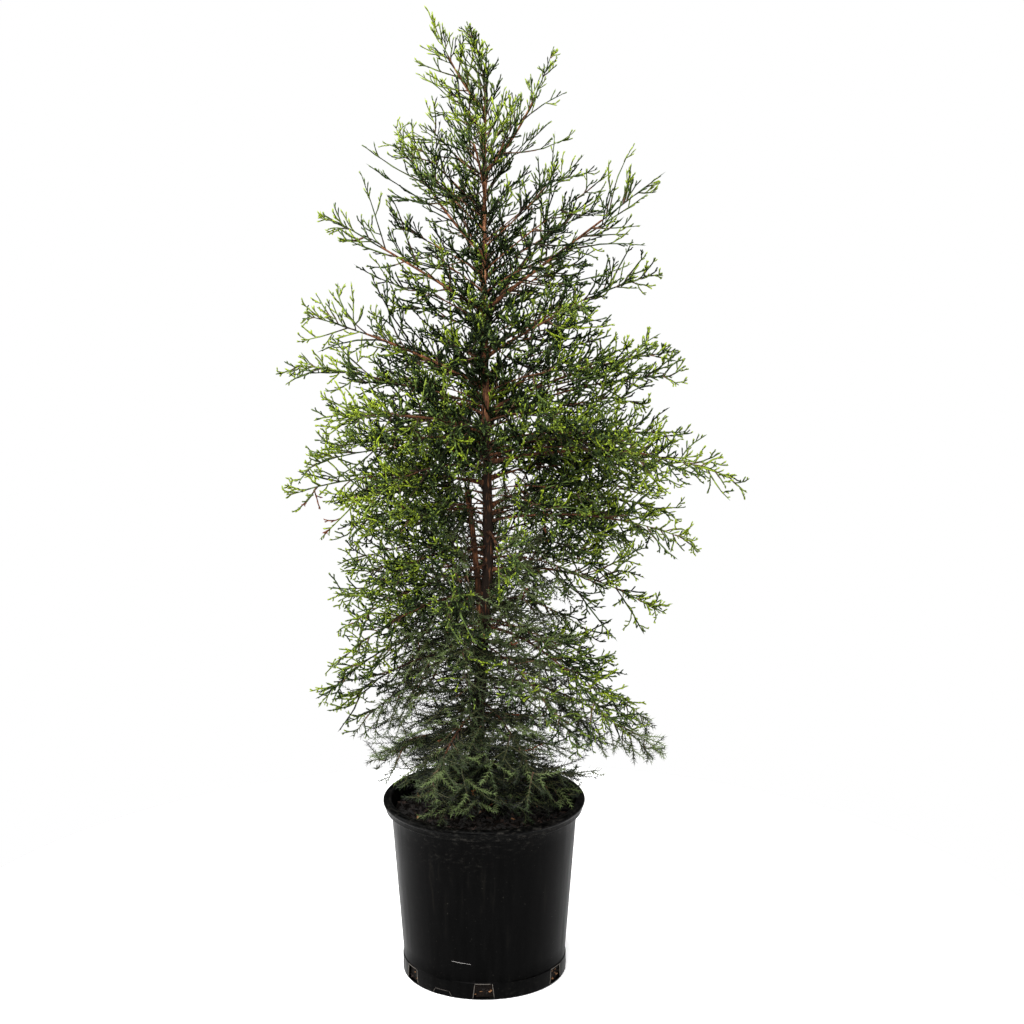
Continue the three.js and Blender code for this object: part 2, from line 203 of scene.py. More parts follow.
# Side twigs of a limb, as in the part's source
TWIG_SPACING = 27
TWIG_MOST = 10
TWIG_LEAST = 4
TWIG_PLACE_START, TWIG_PLACE_SPAN = 0.3, 0.4
TWIG_ANGLES = (math.radians(52), math.radians(34))
TWIG_ROLL_SPREAD = math.radians(140)
TWIG_LENGTH = 40
TWIG_SHARE = 0.5
TWIG_SHORTEST, TWIG_LENGTH_SPAN = 0.8, 0.4
TWIG_LIFTS = (-0.14, 0.24)
OUTLINE_SLACK = 6
LIMB_MARGIN = 2.5

# Smaller boughs between the main ones, and some straight to the sides: height of the tip, azimuth
MINOR_COUNT = 102
MINOR_HEIGHTS = [(0, 264), (0.06, 400), (0.24, 560), (0.74, 880), (1, 1230)]
MINOR_REACH = (0.4, 1.0)
MINOR_REACH_BY_HEIGHT = [(600, 1), (900, 0.75)]
MINOR_THICKNESS = 0.6
MINOR_TURN_SCATTER = math.radians(50)
OUTLINE_BOUGHS = [(318, 0), (622, 0), (850, 0), (985, 0), (865, math.pi)]
OUTLINE_REACH = 0.94
OUTLINE_BARE = 0.55

# Twigs between the source's ones, and twigs straight from the trunk
INFILL_SPACING = [(500, 17), (650, 19), (800, 19), (950, 20), (1150, 28), (1210, 26), (1262, 5.5)]
INFILL_LENGTH_SHARE = 0.54
INFILL_SCATTER = (0.6, 1.2)
INFILL_START = 0.06
LIMB_END = 0.6
TRUNK_TWIG_FOOT = SOIL_TOP + 8
TRUNK_TWIG_SPACING = [
    (300, 2.0), (430, 1.8), (500, 2.6), (560, 1.8), (710, 1.8), (740, 3), (790, 3), (980, 2.6), (1020, 5),
    (1090, 5), (1130, 3.5), (1214, 3.5),
]
TRUNK_TWIG_RISE = [
    (262, 0.35), (320, 0.2), (420, 0), (520, 0.4), (620, 0.8), (720, 0.9), (820, 0.9), (920, 0.8),
    (1020, 0.8), (1120, 1.0), (1220, 1.5), (1334, 2.0),
]
TRUNK_TWIG_LENGTH = [(300, 150), (420, 120), (700, 75), (1000, 70), (1214, 90)]
TRUNK_TWIG_SHORTEST = [(300, 0.6), (420, 0.3)]
TRUNK_TWIG_LONGEST = 1.2
TRUNK_TWIG_LIFT = [(240, -0.42), (420, -0.2), (700, 0), (1214, 0.24)]
TWIG_RADII = (1.25, 0.5)
TWIG_RINGS = 4
TWIG_WOOD_END = 0.5
TWIG_GREEN_START = 0.2
TWIG_NEEDLE_START = 0.15

# Room for shoots, and the gap before and between the stems that stays free of them
SHOOT_BEND = 0.12
TRIM_STEPS = 12
TRIM_SHARES = np.linspace(1 / TRIM_STEPS, 1, TRIM_STEPS)
TRIM_LEAST = 0.25
TRIM_SCATTER = 0.6
TOP_CONE = 1.1
CLEARING_HEIGHTS = (565, 712)
CLEARING_HALF_WIDTH = 15
CLEARING_SHIFT = -5
CLEARING_BACK = 2.2
CLEARING_SLOPE = 0.24

# Shoots on the twigs, branchlets on the shoots, and forks of dead shoots
SHOOT_RULE = GrowthRule(
    fewest=2,
    spacing=[(330, 19), (480, 14), (760, 17), (900, 19), (1100, 28), (1200, 33)],
    span=(0.08, 0.85),
    root_angle=[(700, math.radians(55)), (1100, math.radians(43))],
    tip_angle=[(700, math.radians(38)), (1100, math.radians(28))],
    length=[(330, 30), (480, 20), (700, 16), (1000, 15), (1200, 15)],
    length_share=0.3,
    roll_spread=[(380, math.radians(40)), (620, math.radians(200))],
    lift=0.16,
)
BRANCHLET_RULE = GrowthRule(
    fewest=0,
    spacing=[(500, 6), (900, 6.5), (1300, 7)],
    span=(0.12, 0.92),
    root_angle=[(700, math.radians(50)), (1100, math.radians(33))],
    tip_angle=[(700, math.radians(34)), (1100, math.radians(21))],
    length=[(700, 7), (1000, 7), (1200, 9)],
    length_share=0.12,
    roll_spread=[(500, math.radians(170))],
    lift=0.1,
)
FORK_RULE = replace(BRANCHLET_RULE, fewest=2, spacing=[(500, 12)])
PITCH_SHARES = (0.7, 1.25)
PLACE_SCATTER = (0.2, 0.8)
LENGTH_SCATTER = (0.65, 1.3)
TIP_TAPER = (1.35, 0.5)
LIFT_KEPT = 0.5

# Cords of scale leaves: shares of the length with a ring, and the width of each ring but the tip
WHIP = (np.array([0, 0.35, 0.7, 0.92, 1.0]), np.array([1.0, 0.9, 0.75, 0.55]))
LONG_CORD = (np.array([0, 0.3, 0.6, 0.9, 1.0]), np.array([0.85, 0.9, 0.9, 0.85]))
SHORT_CORD = (np.array([0, 0.8, 1.0]), np.array([0.75, 0.95]))
WHIP_RADIUS = 1.5
WHIP_BARE = 0.5
CORD_RADIUS = 1.35
CORD_SCATTER = (0.85, 1.15)
CORD_TWIST = math.radians(60)
SLIMMER_WITH_HEIGHT = [(900, 1), (1150, 0.78)]

# Needles and the green stems that bear them
NEEDLE_PITCH = [(330, 2.6), (420, 3.4)]
NEEDLES_PER_WHORL = 2
FEWEST_WHORLS = 3
NEEDLE_LENGTH = [(320, 10), (460, 6.5)]
NEEDLE_SCATTER = (0.75, 1.15)
NEEDLE_TAPER = (1.0, 0.7)
NEEDLE_WIDTH = [(320, 1.4), (420, 1.8)]
NEEDLE_ANGLES = (math.radians(58), math.radians(40))
NEEDLE_ANGLE_SCATTER = 0.12
NEEDLE_ROLL_SCATTER = 0.2
NEEDLE_START = 0.05
STEM_RADII = (0.8, 0.45)
STEM_RINGS = 2
END_RADII = (1.0, 0.6)
END_RINGS = 3

# Dead sprays: one that hangs on the left, and a few inside
DEAD_PLACE = np.array([-223.0, -40.0, 645.0])
DEAD_NEAREST = 4
DEAD_SHARE = 0.006
DEAD_HEIGHT = 700
DEAD_REACH = 0.6

# Where scale foliage takes over from needles
RIPE_HEIGHT = 510
RIPE_SPAN = 130
RIPE_REACH = 0.5
RIPE_PER_REACH = 4.2
RIPE_SCATTER = 0.3
RIPE_LOWEST = 350

# Bark meshes, and the nodes that limbs other than boughs stand for
TRUNK_SIDES, TRUNK_PITCH = 40, 3.5
LIMB_SIDES, LIMB_PITCH = 10, 5
MINOR_SIDES, MINOR_PITCH = 6, 8
TRUNK_SEED, LIMB_SEED, MINOR_SEED = 5, 20, 100
BARK_END = 0.66
BROAD_STRIPS, BROAD_LENGTH, BROAD_DEPTH = 9, 46, 0.14
FINE_STRIPS, FINE_LENGTH, FINE_DEPTH = 5, 9, 0.12
FLARE_LOBES, FLARE_TURN, FLARE_DEPTH, FLARE_FADE = 5, 0.7, 0.22, 14
COLLAR_SWELL, COLLAR_FADE = 0.5, 5
OTHER_NODES = {"second_stem": "second_stem", "leader": "foliage_leader"}

# Pruned stubs: height, azimuth, radius, length. Then the rings of a stub and of its sawn face.
STUBS = [(262, math.radians(-96), 6.5, 9), (488, math.radians(-88), 4.2, 7)]
STUB_RISE = 0.25
STUB_SIDES = 16
STUB_SHARES = np.array([0, 0.5, 0.8, 0.93, 1.0])
STUB_WIDTHS = np.array([1.35, 1.2, 1.05, 1.0, 0.92])
STUB_TIP = 0.1
FACE_PLACES = np.array([-1.0, 0.5, 0.8])
FACE_WIDTHS = np.array([0.85, 0.8])

# Colours from 0 to 255, and how greens are dealt
SCALE_GREENS = [(24, 33, 15), (50, 65, 35), (80, 97, 48), (107, 124, 46), (131, 149, 40)]
NEEDLE_GREENS = [(8, 13, 5), (24, 33, 16), (47, 58, 32), (84, 98, 57)]
# Painted shade and light in the greens: deep inside the crown and low over the pot the greens are dealt
# darker, at the outside and top paler; the scatter by spray and by shoot is the foliage's own tone.
TONE_AND_PAINTED_SHADE_BY_REACH = 0.32
PAINTED_LIGHT_AND_SHADE_BY_HEIGHT = [(SOIL_TOP, -0.14), (400, 0.05), (700, 0.2), (1050, 0.11), (TIP_HIGH, 0.33)]
TONE_BY_PLACE = 0.15
SPRAY_SCATTER = 0.14
SHOOT_SCATTER = 0.08
STEM_GREEN = (66, 66, 38)
DEAD_BROWN = (110, 62, 38)
TWIG_BROWNS = [(44, 33, 24), (62, 46, 34), (88, 64, 46)]
# The second item of each bark line is painted shade: two tones that make the bark darker low down than high
# up.
TRUNK_BROWNS, TRUNK_SHADE_TONES = [(24, 16, 11), (116, 76, 51), (190, 140, 102)], (-0.2, -0.02)
BOUGH_BROWNS, BOUGH_SHADE_TONES = [(36, 22, 13), (104, 66, 43), (168, 116, 80)], (-0.13, -0.03)
# The chip browns are partly the bark's own dark colour and partly painted shade: they are kept near black
# for the shade under the foliage.
CHIP_BROWNS = [(10, 7, 5), (18, 12, 8), (34, 21, 14), (120, 84, 54)]
CHIP_SHARES = [0.44, 0.36, 0.18, 0.02]
DRAIN_CHIP_SHARES = [0.3, 0.2, 0.15, 0.35]
SCRATCH_GREY = (150, 148, 144)
EDGE_GREY = (70, 66, 60)
SCUFF_GREY = (64, 62, 58)

# Camera, found from the photograph's perspective, in metres
CAMERA_PLACE = (0.039, -2.990, 1.362)
CAMERA_PITCH = math.radians(13.16)
CAMERA_LENS = 79.5
CAMERA_SENSOR = 36

# Studio: lights have a name, a place, a target and a size in metres, and a power
LIGHTS = [
    ("key", (-0.9, -2.6, 3.2), (0, 0, 0.7), (2.0, 2.0), 280),
    ("front", (0.5, -3.2, 1.7), (0, 0, 0.8), (1.6, 1.6), 70),
    ("top", (0.5, 0.3, 3.6), (0, 0, 0.7), (1.2, 1.2), 100),
    ("left", (-2.6, 0.5, 1.2), (0, 0, 0.5), (1.0, 2.2), 74),
    ("right", (2.6, 0.7, 1.2), (0, 0, 0.5), (1.0, 2.2), 6),
]
BACKDROP_GLOW = 1.0
WORLD_GLOW = 0.15
FLOOR_RADIUS = 850
FLOOR_SIDES = 96
FLOOR_DROP = 0.4
FLOOR_GLOW = 0.4
WHITE = (1, 1, 1, 1)


# Small tools for numbers and curves

def lerp(a, b, share):
    return a + (b - a) * share


def from_pairs(pairs, at):
    """Values interpolated between pairs of a place and the value there."""
    return np.interp(at, *zip(*pairs))


def table_columns(table, height):
    """Columns of a table at some heights, interpolated on its first column."""
    return [np.interp(height, table[:, 0], column) for column in table.T[1:]]


def unit(vectors):
    return vectors / np.linalg.norm(vectors, axis=-1, keepdims=True)


def aside(directions):
    """A direction well away from each of some directions."""
    return np.where(np.abs(directions[..., 2:]) > STEEP, RIGHT, UP)


def bezier(controls, shares):
    """Points of Bezier curves: controls has the shape (..., order + 1, 3), and shares fit its (...)."""
    order = controls.shape[-2] - 1
    share = np.asarray(shares)[..., None]
    return sum(
        math.comb(order, k) * share**k * (1 - share) ** (order - k) * controls[..., k, :]
        for k in range(order + 1)
    )


def heading(controls, shares):
    return unit(bezier(np.diff(controls, axis=-2), shares))


def curve_length(controls):
    points = bezier(controls, np.linspace(0, 1, CURVE_SAMPLES))
    return np.linalg.norm(np.diff(points, axis=0), axis=1).sum()


def stretch(controls, start, end):
    """Controls of the quadratic curves through the start, middle and end of a stretch of some curves."""
    root, half, tip = (bezier(controls, share) for share in (start, (start + end) / 2, end))
    return np.stack([root, 2 * half - (root + tip) / 2, tip], axis=-2)


def leaving(along, angle, roll):
    """Directions that leave each axis at an angle, rolled round it from level."""
    level = unit(np.cross(along, UP))
    over = np.cross(level, along)
    angle, roll = np.asarray(angle)[..., None], np.asarray(roll)[..., None]
    return along * np.cos(angle) + np.sin(angle) * (level * np.cos(roll) + over * np.sin(roll))


def turns_round(sides):
    return 2 * np.pi * np.arange(sides) / sides


def round_places(radius, turn, height):
    """Places round the upright axis."""
    return np.stack(np.broadcast_arrays(radius * np.cos(turn), radius * np.sin(turn), height), axis=-1)


# Growth rule of the part's source: trunk, boughs, second stem, leader and their side twigs

def number_stream(seed):
    """A repeatable stream of numbers from 0 to 1 for one limb."""
    state = (seed + 11) * 2654435761 % 2**32
    while True:
        state = (state * 1664525 + 1013904223) % 2**32
        yield state / 2**32


def trunk_point(height):
    place, _ = table_columns(TRUNK, height)
    return np.stack([place, np.zeros_like(place), np.asarray(height, float)], axis=-1)


def trunk_radius(height):
    """Radius of the trunk's bark, slimmer high up than the part's plain limb."""
    return table_columns(TRUNK, height)[1] * from_pairs(TRUNK_SLIMMING, height)


def crown_reach(height, azimuth):
    """How far the crown reaches from the trunk at a height, towards an azimuth from the right."""
    left, right, _ = table_columns(CROWN, height)
    across = np.where(np.cos(azimuth) > 0, right, left)
    deep = (left + right) / 2 * DEPTH_SHARE
    towards = np.cos(azimuth) ** 2
    return across * towards + deep * (1 - towards)


@dataclass
class Limb:
    """A bough or stem: its curve, the share of it that bears nothing, and how its twigs lift."""
    name: str
    controls: np.ndarray
    bare: float
    root_radius: float
    lift: float
    draw: Callable[[], float]


def bough(name, tip_height, turn, share_of_reach, draw, bare=BARE_SHARE, thickness=1):
    azimuth = turn - SIDE_PULL * math.sin(2 * turn)
    reach = crown_reach(tip_height, azimuth) * share_of_reach
    rise = table_columns(CROWN, tip_height)[2]
    outward = round_places(1, azimuth, 0)
    root = trunk_point(tip_height - rise * reach)
    tip = outward * reach + UP * tip_height
    length = np.linalg.norm(tip - root)
    sideways = np.cross(UP, outward)
    arch = ARCH_LEVEL - ARCH_PER_RISE * rise
    middle = (root + tip) / 2 + UP * arch * length + sideways * (draw() - 0.5) * SIDE_BEND * length
    return Limb(
        name=name,
        controls=np.stack([root, middle, tip]),
        bare=bare,
        root_radius=(BOUGH_RADIUS + BOUGH_RADIUS_PER_LENGTH * length) * thickness,
        lift=lerp(*TWIG_LIFTS, (tip_height - TIP_LOW) / (TIP_HIGH - TIP_LOW)),
        draw=draw,
    )


def spiral_bough(index):
    share = (index / (BOUGH_COUNT - 1)) ** TIP_CROWDING
    turn = LAST_AZIMUTH - (BOUGH_COUNT - 1 - index) * DIVERGENCE
    draw = number_stream(index).__next__
    return bough(f"{index + 1:02d}", lerp(TIP_LOW, TIP_HIGH, share), turn, 1, draw)


def minor_bough(index):
    """A thinner bough between the main ones, that stops short of the outline."""
    tip_height = from_pairs(MINOR_HEIGHTS, (index + rng.random()) / MINOR_COUNT)
    share = rng.uniform(*MINOR_REACH) * from_pairs(MINOR_REACH_BY_HEIGHT, tip_height)
    turn = index * DIVERGENCE + rng.normal(0, MINOR_TURN_SCATTER)
    name = f"minor_{index + 1:02d}"
    return bough(name, tip_height, turn, share, rng.random, thickness=MINOR_THICKNESS)


def outline_bough(index):
    """A thinner bough straight to one side, where the photo reaches the outline and the spiral doesn't."""
    name = f"outline_{index + 1}"
    return bough(name, *OUTLINE_BOUGHS[index], OUTLINE_REACH, rng.random, OUTLINE_BARE, MINOR_THICKNESS)


def second_stem():
    outward = round_places(1, SECOND_AZIMUTH, 0)
    low_bend, high_bend = (lerp(SECOND_FOOT, SECOND_HEAD, share) for share in SECOND_BENDS)
    controls = np.stack([
        trunk_point(SECOND_FOOT),
        trunk_point(low_bend) + outward * SECOND_OFFSET,
        trunk_point(high_bend) + outward * SECOND_OFFSET,
        trunk_point(SECOND_HEAD) + outward * SECOND_REACH,
    ])
    draw = number_stream(BOUGH_COUNT).__next__
    return Limb("second_stem", controls, SECOND_BARE, SECOND_RADIUS, TWIG_LIFTS[1], draw)


def leader():
    root = trunk_point(TRUNK_TOP)
    middle = (root + LEADER_TIP) / 2
    middle[0] = root[0]
    draw = number_stream(BOUGH_COUNT + 1).__next__
    controls = np.stack([root, middle, LEADER_TIP])
    return Limb("leader", controls, 0, float(trunk_radius(TRUNK_TOP)), TWIG_LIFTS[1], draw)


LIMBS = [spiral_bough(index) for index in range(BOUGH_COUNT)] + [second_stem(), leader()]
MINORS = [minor_bough(index) for index in range(MINOR_COUNT)]
MINORS += [outline_bough(index) for index in range(len(OUTLINE_BOUGHS))]
MASSES = [f"foliage_{limb.name}" for limb in LIMBS]
UPPER_TIPS = np.array([limb.controls[-1] for limb in LIMBS if limb.controls[-1][2] > TRUNK_TOP])


def limb_radius(limb, share):
    neck = limb.root_radius * BOUGH_TAPER
    return np.interp(share, [0, max(limb.bare, 1e-6), 1], [limb.root_radius, neck, STEM_TIP_RADIUS])


@dataclass
class Shoots:
    """Shoots of one generation: curve, length, lift of the tip, parent and place on the parent."""
    controls: np.ndarray
    length: np.ndarray
    lift: np.ndarray
    owner: np.ndarray
    place: np.ndarray

    def chosen(self, which):
        return Shoots(*(values[which] for values in vars(self).values()))


def joined_shoots(groups):
    return Shoots(*(np.concatenate(values) for values in zip(*(vars(g).values() for g in groups))))


def points_along(shoots, shares):
    """Points at the same shares of every shoot."""
    return bezier(shoots.controls[:, None], shares)


def shoots_from(roots, along, length, lift, owner, place):
    reach = along * length[:, None]
    bend = rng.normal(0, SHOOT_BEND, reach.shape) * length[:, None]
    tips = roots + reach + UP * (lift * length)[:, None]
    controls = np.stack([roots, roots + reach / 2 + bend, tips], axis=1)
    return trimmed(Shoots(controls, length, lift, owner, place))


def wall_radius(height):
    return lerp(WALL_BASE_RADIUS, WALL_TOP_RADIUS, (height - FOOT_HEIGHT) / (POT_HEIGHT - FOOT_HEIGHT))


def inner_radius(height):
    return wall_radius(height) - WALL


def skyline(points):
    """Height that foliage may reach over each point: a cone round the tip of every upper limb."""
    apart = np.linalg.norm(points[..., None, :2] - UPPER_TIPS[:, :2], axis=-1)
    return np.max(UPPER_TIPS[:, 2] - TOP_CONE * apart, axis=-1) + OUTLINE_SLACK


def has_room(points):
    """Whether points lie inside the crown's outline, clear of the pot and the soil."""
    x, y, z = np.moveaxis(points, -1, 0)
    radius = np.hypot(x, y)
    in_crown = radius < crown_reach(z, np.arctan2(y, x)) + OUTLINE_SLACK
    below_top = z < skyline(points)
    above_rim = z > POT_HEIGHT + LIMB_MARGIN
    beside_rim = (radius > RIM_RADIUS + LIMB_MARGIN) & (z > SOIL_TOP)
    in_pot = (radius < inner_radius(SOIL_TOP) - LIMB_MARGIN) & (z > SOIL_TOP + LIMB_MARGIN)
    return in_crown & below_top & (above_rim | beside_rim | in_pot)


def trimmed(shoots):
    """The shoots cut where they would leave the crown or touch the pot, without mere stubs."""
    room = has_room(points_along(shoots, TRIM_SHARES))
    reach = np.cumprod(room, axis=1).sum(axis=1) / TRIM_STEPS
    reach = np.where(reach < 1, reach * rng.uniform(TRIM_SCATTER, 1, len(reach)), 1)
    root, middle, _ = np.moveaxis(shoots.controls, 1, 0)
    tip = bezier(shoots.controls, reach)
    shoots.controls = np.stack([root, lerp(root, middle, reach[:, None]), tip], axis=1)
    shoots.length = shoots.length * reach
    return shoots.chosen(reach > TRIM_LEAST)


def source_twigs(limb):
    """The side twigs that the part's source gives a limb."""
    stem_length = curve_length(limb.controls) * (1 - limb.bare)
    count = int(np.clip(math.floor(stem_length / TWIG_SPACING + 0.5), TWIG_LEAST, TWIG_MOST))
    draws = np.array([[limb.draw() for _ in range(3)] for _ in range(count)])
    order = np.arange(count)
    place = (order + TWIG_PLACE_START + TWIG_PLACE_SPAN * draws[:, 0]) / count
    roll = (order % 2) * np.pi + (draws[:, 1] - 0.5) * TWIG_ROLL_SPREAD
    full = TWIG_LENGTH + TWIG_SHARE * (1 - place) * stem_length
    length = full * (TWIG_SHORTEST + TWIG_LENGTH_SPAN * draws[:, 2])
    return limb_twigs(limb, lerp(limb.bare, 1, place), place, roll, length)


def limb_twigs(limb, share, place, roll, length):
    along = leaving(heading(limb.controls, share), lerp(*TWIG_ANGLES, place), roll)
    lift = np.full(len(share), limb.lift)
    return shoots_from(bezier(limb.controls, share), along, length, lift, np.zeros(len(share), int), place)


# Finer growth by the same rule

def infill_twigs(limb):
    """Shorter twigs between the source's ones, on all sides of a limb."""
    full_length = curve_length(limb.controls)
    count = int(full_length / from_pairs(INFILL_SPACING, limb.controls[1, 2]))
    place = (np.arange(count) + rng.random(count)) / count
    share = lerp(max(INFILL_START, limb.bare - BARE_SHARE), 1, place)
    roll = rng.random(count) * 2 * np.pi
    full = TWIG_LENGTH + TWIG_SHARE * (1 - place) * full_length * (1 - limb.bare)
    length = full * INFILL_LENGTH_SHARE * rng.uniform(*INFILL_SCATTER, count)
    return limb_twigs(limb, share, place, roll, length)


def trunk_twigs():
    """Short twigs straight from the trunk, closer together low down than high up."""
    pitch = min(spacing for _, spacing in TRUNK_TWIG_SPACING)
    heights = np.arange(TRUNK_TWIG_FOOT, TRUNK_TOP, pitch)
    density = pitch / from_pairs(TRUNK_TWIG_SPACING, heights)
    heights = heights[rng.random(len(heights)) < density]
    count = len(heights)
    azimuth = rng.random(count) * 2 * np.pi
    along = unit(round_places(1, azimuth, from_pairs(TRUNK_TWIG_RISE, heights)))
    scatter = rng.uniform(from_pairs(TRUNK_TWIG_SHORTEST, heights), TRUNK_TWIG_LONGEST)
    length = from_pairs(TRUNK_TWIG_LENGTH, heights) * scatter
    lift = from_pairs(TRUNK_TWIG_LIFT, heights)
    return shoots_from(trunk_point(heights), along, length, lift, np.zeros(count, int), np.zeros(count))


def in_clearing(shoots):
    """Whether shoots cross the gap before and between the stems, where the photo shows them bare."""
    x, y, z = np.moveaxis(points_along(shoots, TRIM_SHARES), -1, 0)
    middle = trunk_point(np.mean(CLEARING_HEIGHTS))[0] + CLEARING_SHIFT
    seen_height = z + CLEARING_SLOPE * y
    low, high = CLEARING_HEIGHTS
    beside = np.abs(x - middle) < CLEARING_HALF_WIDTH
    crossing = (y < CLEARING_BACK) & beside & (seen_height > low) & (seen_height < high)
    return crossing.any(axis=1)


def limb_end(limb):
    """The outer part of a limb as a shoot that bears foliage itself."""
    controls = stretch(limb.controls, LIMB_END, 1)
    length = np.array([curve_length(controls)])
    return Shoots(controls[None], length, np.array([limb.lift]), np.zeros(1, int), np.zeros(1))


def part_of(shoots, start, end):
    """The stretch of each shoot between two shares of its length, as shoots of their own."""
    controls = stretch(shoots.controls, start, end)
    return Shoots(controls, shoots.length * (end - start), shoots.lift, shoots.owner, shoots.place)


def side_shoots(parents, rule):
    """Side shoots along every parent, on alternate sides and shorter towards its tip."""
    middles = parents.controls[:, 1]
    outer = np.clip(reach_share(middles), 0, 1)
    pitch = from_pairs(rule.spacing, middles[:, 2]) * lerp(*PITCH_SHARES, outer)
    start, end = rule.span
    count = np.maximum(np.round(parents.length * (end - start) / pitch), rule.fewest).astype(int)
    owner, order = numbered(count)
    place = lerp(start, end, (order + rng.uniform(*PLACE_SCATTER, len(owner))) / count[owner])
    height = middles[owner, 2]
    spread = from_pairs(rule.roll_spread, height)
    roll = np.pi * ((order + owner) % 2) + spread * (rng.random(len(owner)) - 0.5)
    controls = parents.controls[owner]
    angle = lerp(from_pairs(rule.root_angle, height), from_pairs(rule.tip_angle, height), place)
    along = leaving(heading(controls, place), angle, roll)
    shortest = from_pairs(rule.length, height)
    full = shortest * lerp(*TIP_TAPER, place) + rule.length_share * (1 - place) * parents.length[owner]
    full = full * rng.uniform(*LENGTH_SCATTER, len(owner))
    lift = LIFT_KEPT * parents.lift[owner] + rule.lift
    return shoots_from(bezier(controls, place), along, full, lift, owner, place)


def numbered(count):
    """For counts of children: the parent of every child, and its order on that parent."""
    owner = np.repeat(np.arange(len(count)), count)
    return owner, np.arange(len(owner)) - np.repeat(np.cumsum(count) - count, count)


def reach_share(points):
    """How far out in the crown points lie: 0 at the trunk, 1 at the outline."""
    x, y, z = np.moveaxis(points, -1, 0)
    return np.hypot(x, y) / crown_reach(z, np.arctan2(y, x))


def is_ripe(shoots):
    """Whether shoots bear scale foliage: high up and far out, while needles stay low and inside."""
    middle = bezier(shoots.controls, 0.5)
    height = (middle[:, 2] - RIPE_HEIGHT) / RIPE_SPAN
    outward = RIPE_PER_REACH * (reach_share(middle) - RIPE_REACH)
    ripeness = height + outward + rng.normal(0, RIPE_SCATTER, len(middle))
    return (ripeness > 0) & (middle[:, 2] > RIPE_LOWEST)


# Meshes from arrays

def tubes(points, radii, sides, twist=0.0):
    """Closed tubes that end in a point, many at once.

    points is (count, rings + 1, 3), the last one the tip. radii is (count, rings) or
    (count, rings, sides). twist turns each ring from the one before.
    """
    count, rings = radii.shape[:2]
    along = unit(np.gradient(points, axis=1))[:, :rings]
    chord = unit(points[:, -1] - points[:, 0])
    across = unit(np.cross(aside(chord)[:, None], along))
    over = np.cross(along, across)
    turn = turns_round(sides) + twist * np.arange(rings)[:, None]
    wide = radii if radii.ndim == 3 else radii[:, :, None]
    outward = (
        across[:, :, None] * np.cos(turn)[None, :, :, None]
        + over[:, :, None] * np.sin(turn)[None, :, :, None]
    )
    ring_places = points[:, :rings, None] + outward * wide[..., None]
    places = np.concatenate([ring_places.reshape(count, -1, 3), points[:, -1:]], axis=1)
    return places.reshape(-1, 3), repeated(tube_faces(rings, sides), count, rings * sides + 1)


def ring_quads(ring, sides):
    """Quads from one ring of points to the next."""
    side = np.arange(sides)
    a, b = ring * sides + side, ring * sides + (side + 1) % sides
    return np.stack([a, b, b + sides, a + sides], 1)


def tube_faces(rings, sides):
    faces = []
    for ring in range(rings - 1):
        quads = ring_quads(ring, sides)
        faces += [quads[:, [0, 1, 2]], quads[:, [0, 2, 3]]]
    last_edges = ring_quads(rings - 1, sides)[:, :2]
    faces.append(np.column_stack([last_edges, np.full(sides, rings * sides)]))
    fan = np.arange(1, sides - 1)
    faces.append(np.stack([np.zeros_like(fan), fan + 1, fan], 1))
    return np.concatenate(faces)


def repeated(faces, count, size):
    """The faces of one mesh for a count of copies, each with the same size in places."""
    return (faces[None] + size * np.arange(count)[:, None, None]).reshape(-1, faces.shape[1])


def needles(roots, tips, width):
    """Slim closed three-sided needles, one for each root and tip."""
    along = unit(tips - roots)
    across = unit(np.cross(along, aside(along)))
    over = np.cross(along, across)
    corners = [0.5 * across + 0.2 * over, -0.5 * across + 0.2 * over, -0.4 * over]
    places = np.stack([*(roots + width * corner for corner in corners), tips], axis=1)
    faces = np.array([[0, 1, 3], [1, 2, 3], [2, 0, 3], [0, 2, 1]])
    return places.reshape(-1, 3), repeated(faces, len(roots), 4)


def merged(parts):
    """One mesh from several pairs of places and faces."""
    offsets = np.cumsum([0, *(len(places) for places, _ in parts[:-1])])
    places = np.concatenate([places for places, _ in parts])
    faces = np.concatenate([faces + offset for (_, faces), offset in zip(parts, offsets)])
    return places, faces


def in_scene(name, data):
    """A new object in the scene."""
    made = bpy.data.objects.new(name, data)
    bpy.context.scene.collection.objects.link(made)
    return made


def mesh_object(name, places, faces, material=None, smooth=True):
    """A new object from arrays in millimetres, all its faces with the same count of corners."""
    mesh = bpy.data.meshes.new(name)
    mesh.vertices.add(len(places))
    mesh.vertices.foreach_set("co", (places * MM).astype(np.float32).ravel())
    mesh.loops.add(faces.size)
    mesh.loops.foreach_set("vertex_index", faces.astype(np.int32).ravel())
    mesh.polygons.add(len(faces))
    mesh.polygons.foreach_set("loop_start", np.arange(0, faces.size, faces.shape[1], dtype=np.int32))
    mesh.polygons.foreach_set("use_smooth", np.full(len(faces), smooth))
    mesh.update(calc_edges=True)
    if material is not None:
        mesh.materials.append(material)
    return in_scene(name, mesh)


def hand_in(piece, nodes):
    """Puts a piece on the plant's one body, where it stands for its nodes, and hides those nodes."""
    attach(piece, "root")
    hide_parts(*nodes)


def make_piece(name, mesh, material, nodes, smooth=True):
    """A piece on the plant's body from a pair of places and faces."""
    hand_in(mesh_object(name, *mesh, material, smooth), nodes)


def make_shades(name, look, colours, meshes, nodes, roughness, specular=0.3, smooth=True):
    """One piece for each colour, from its own mesh."""
    for number, (colour, mesh) in enumerate(zip(colours, meshes), 1):
        material = plain(f"{look}_{number}", colour, roughness, specular)
        make_piece(f"{name}_{number}", mesh, material, nodes, smooth)


# Materials

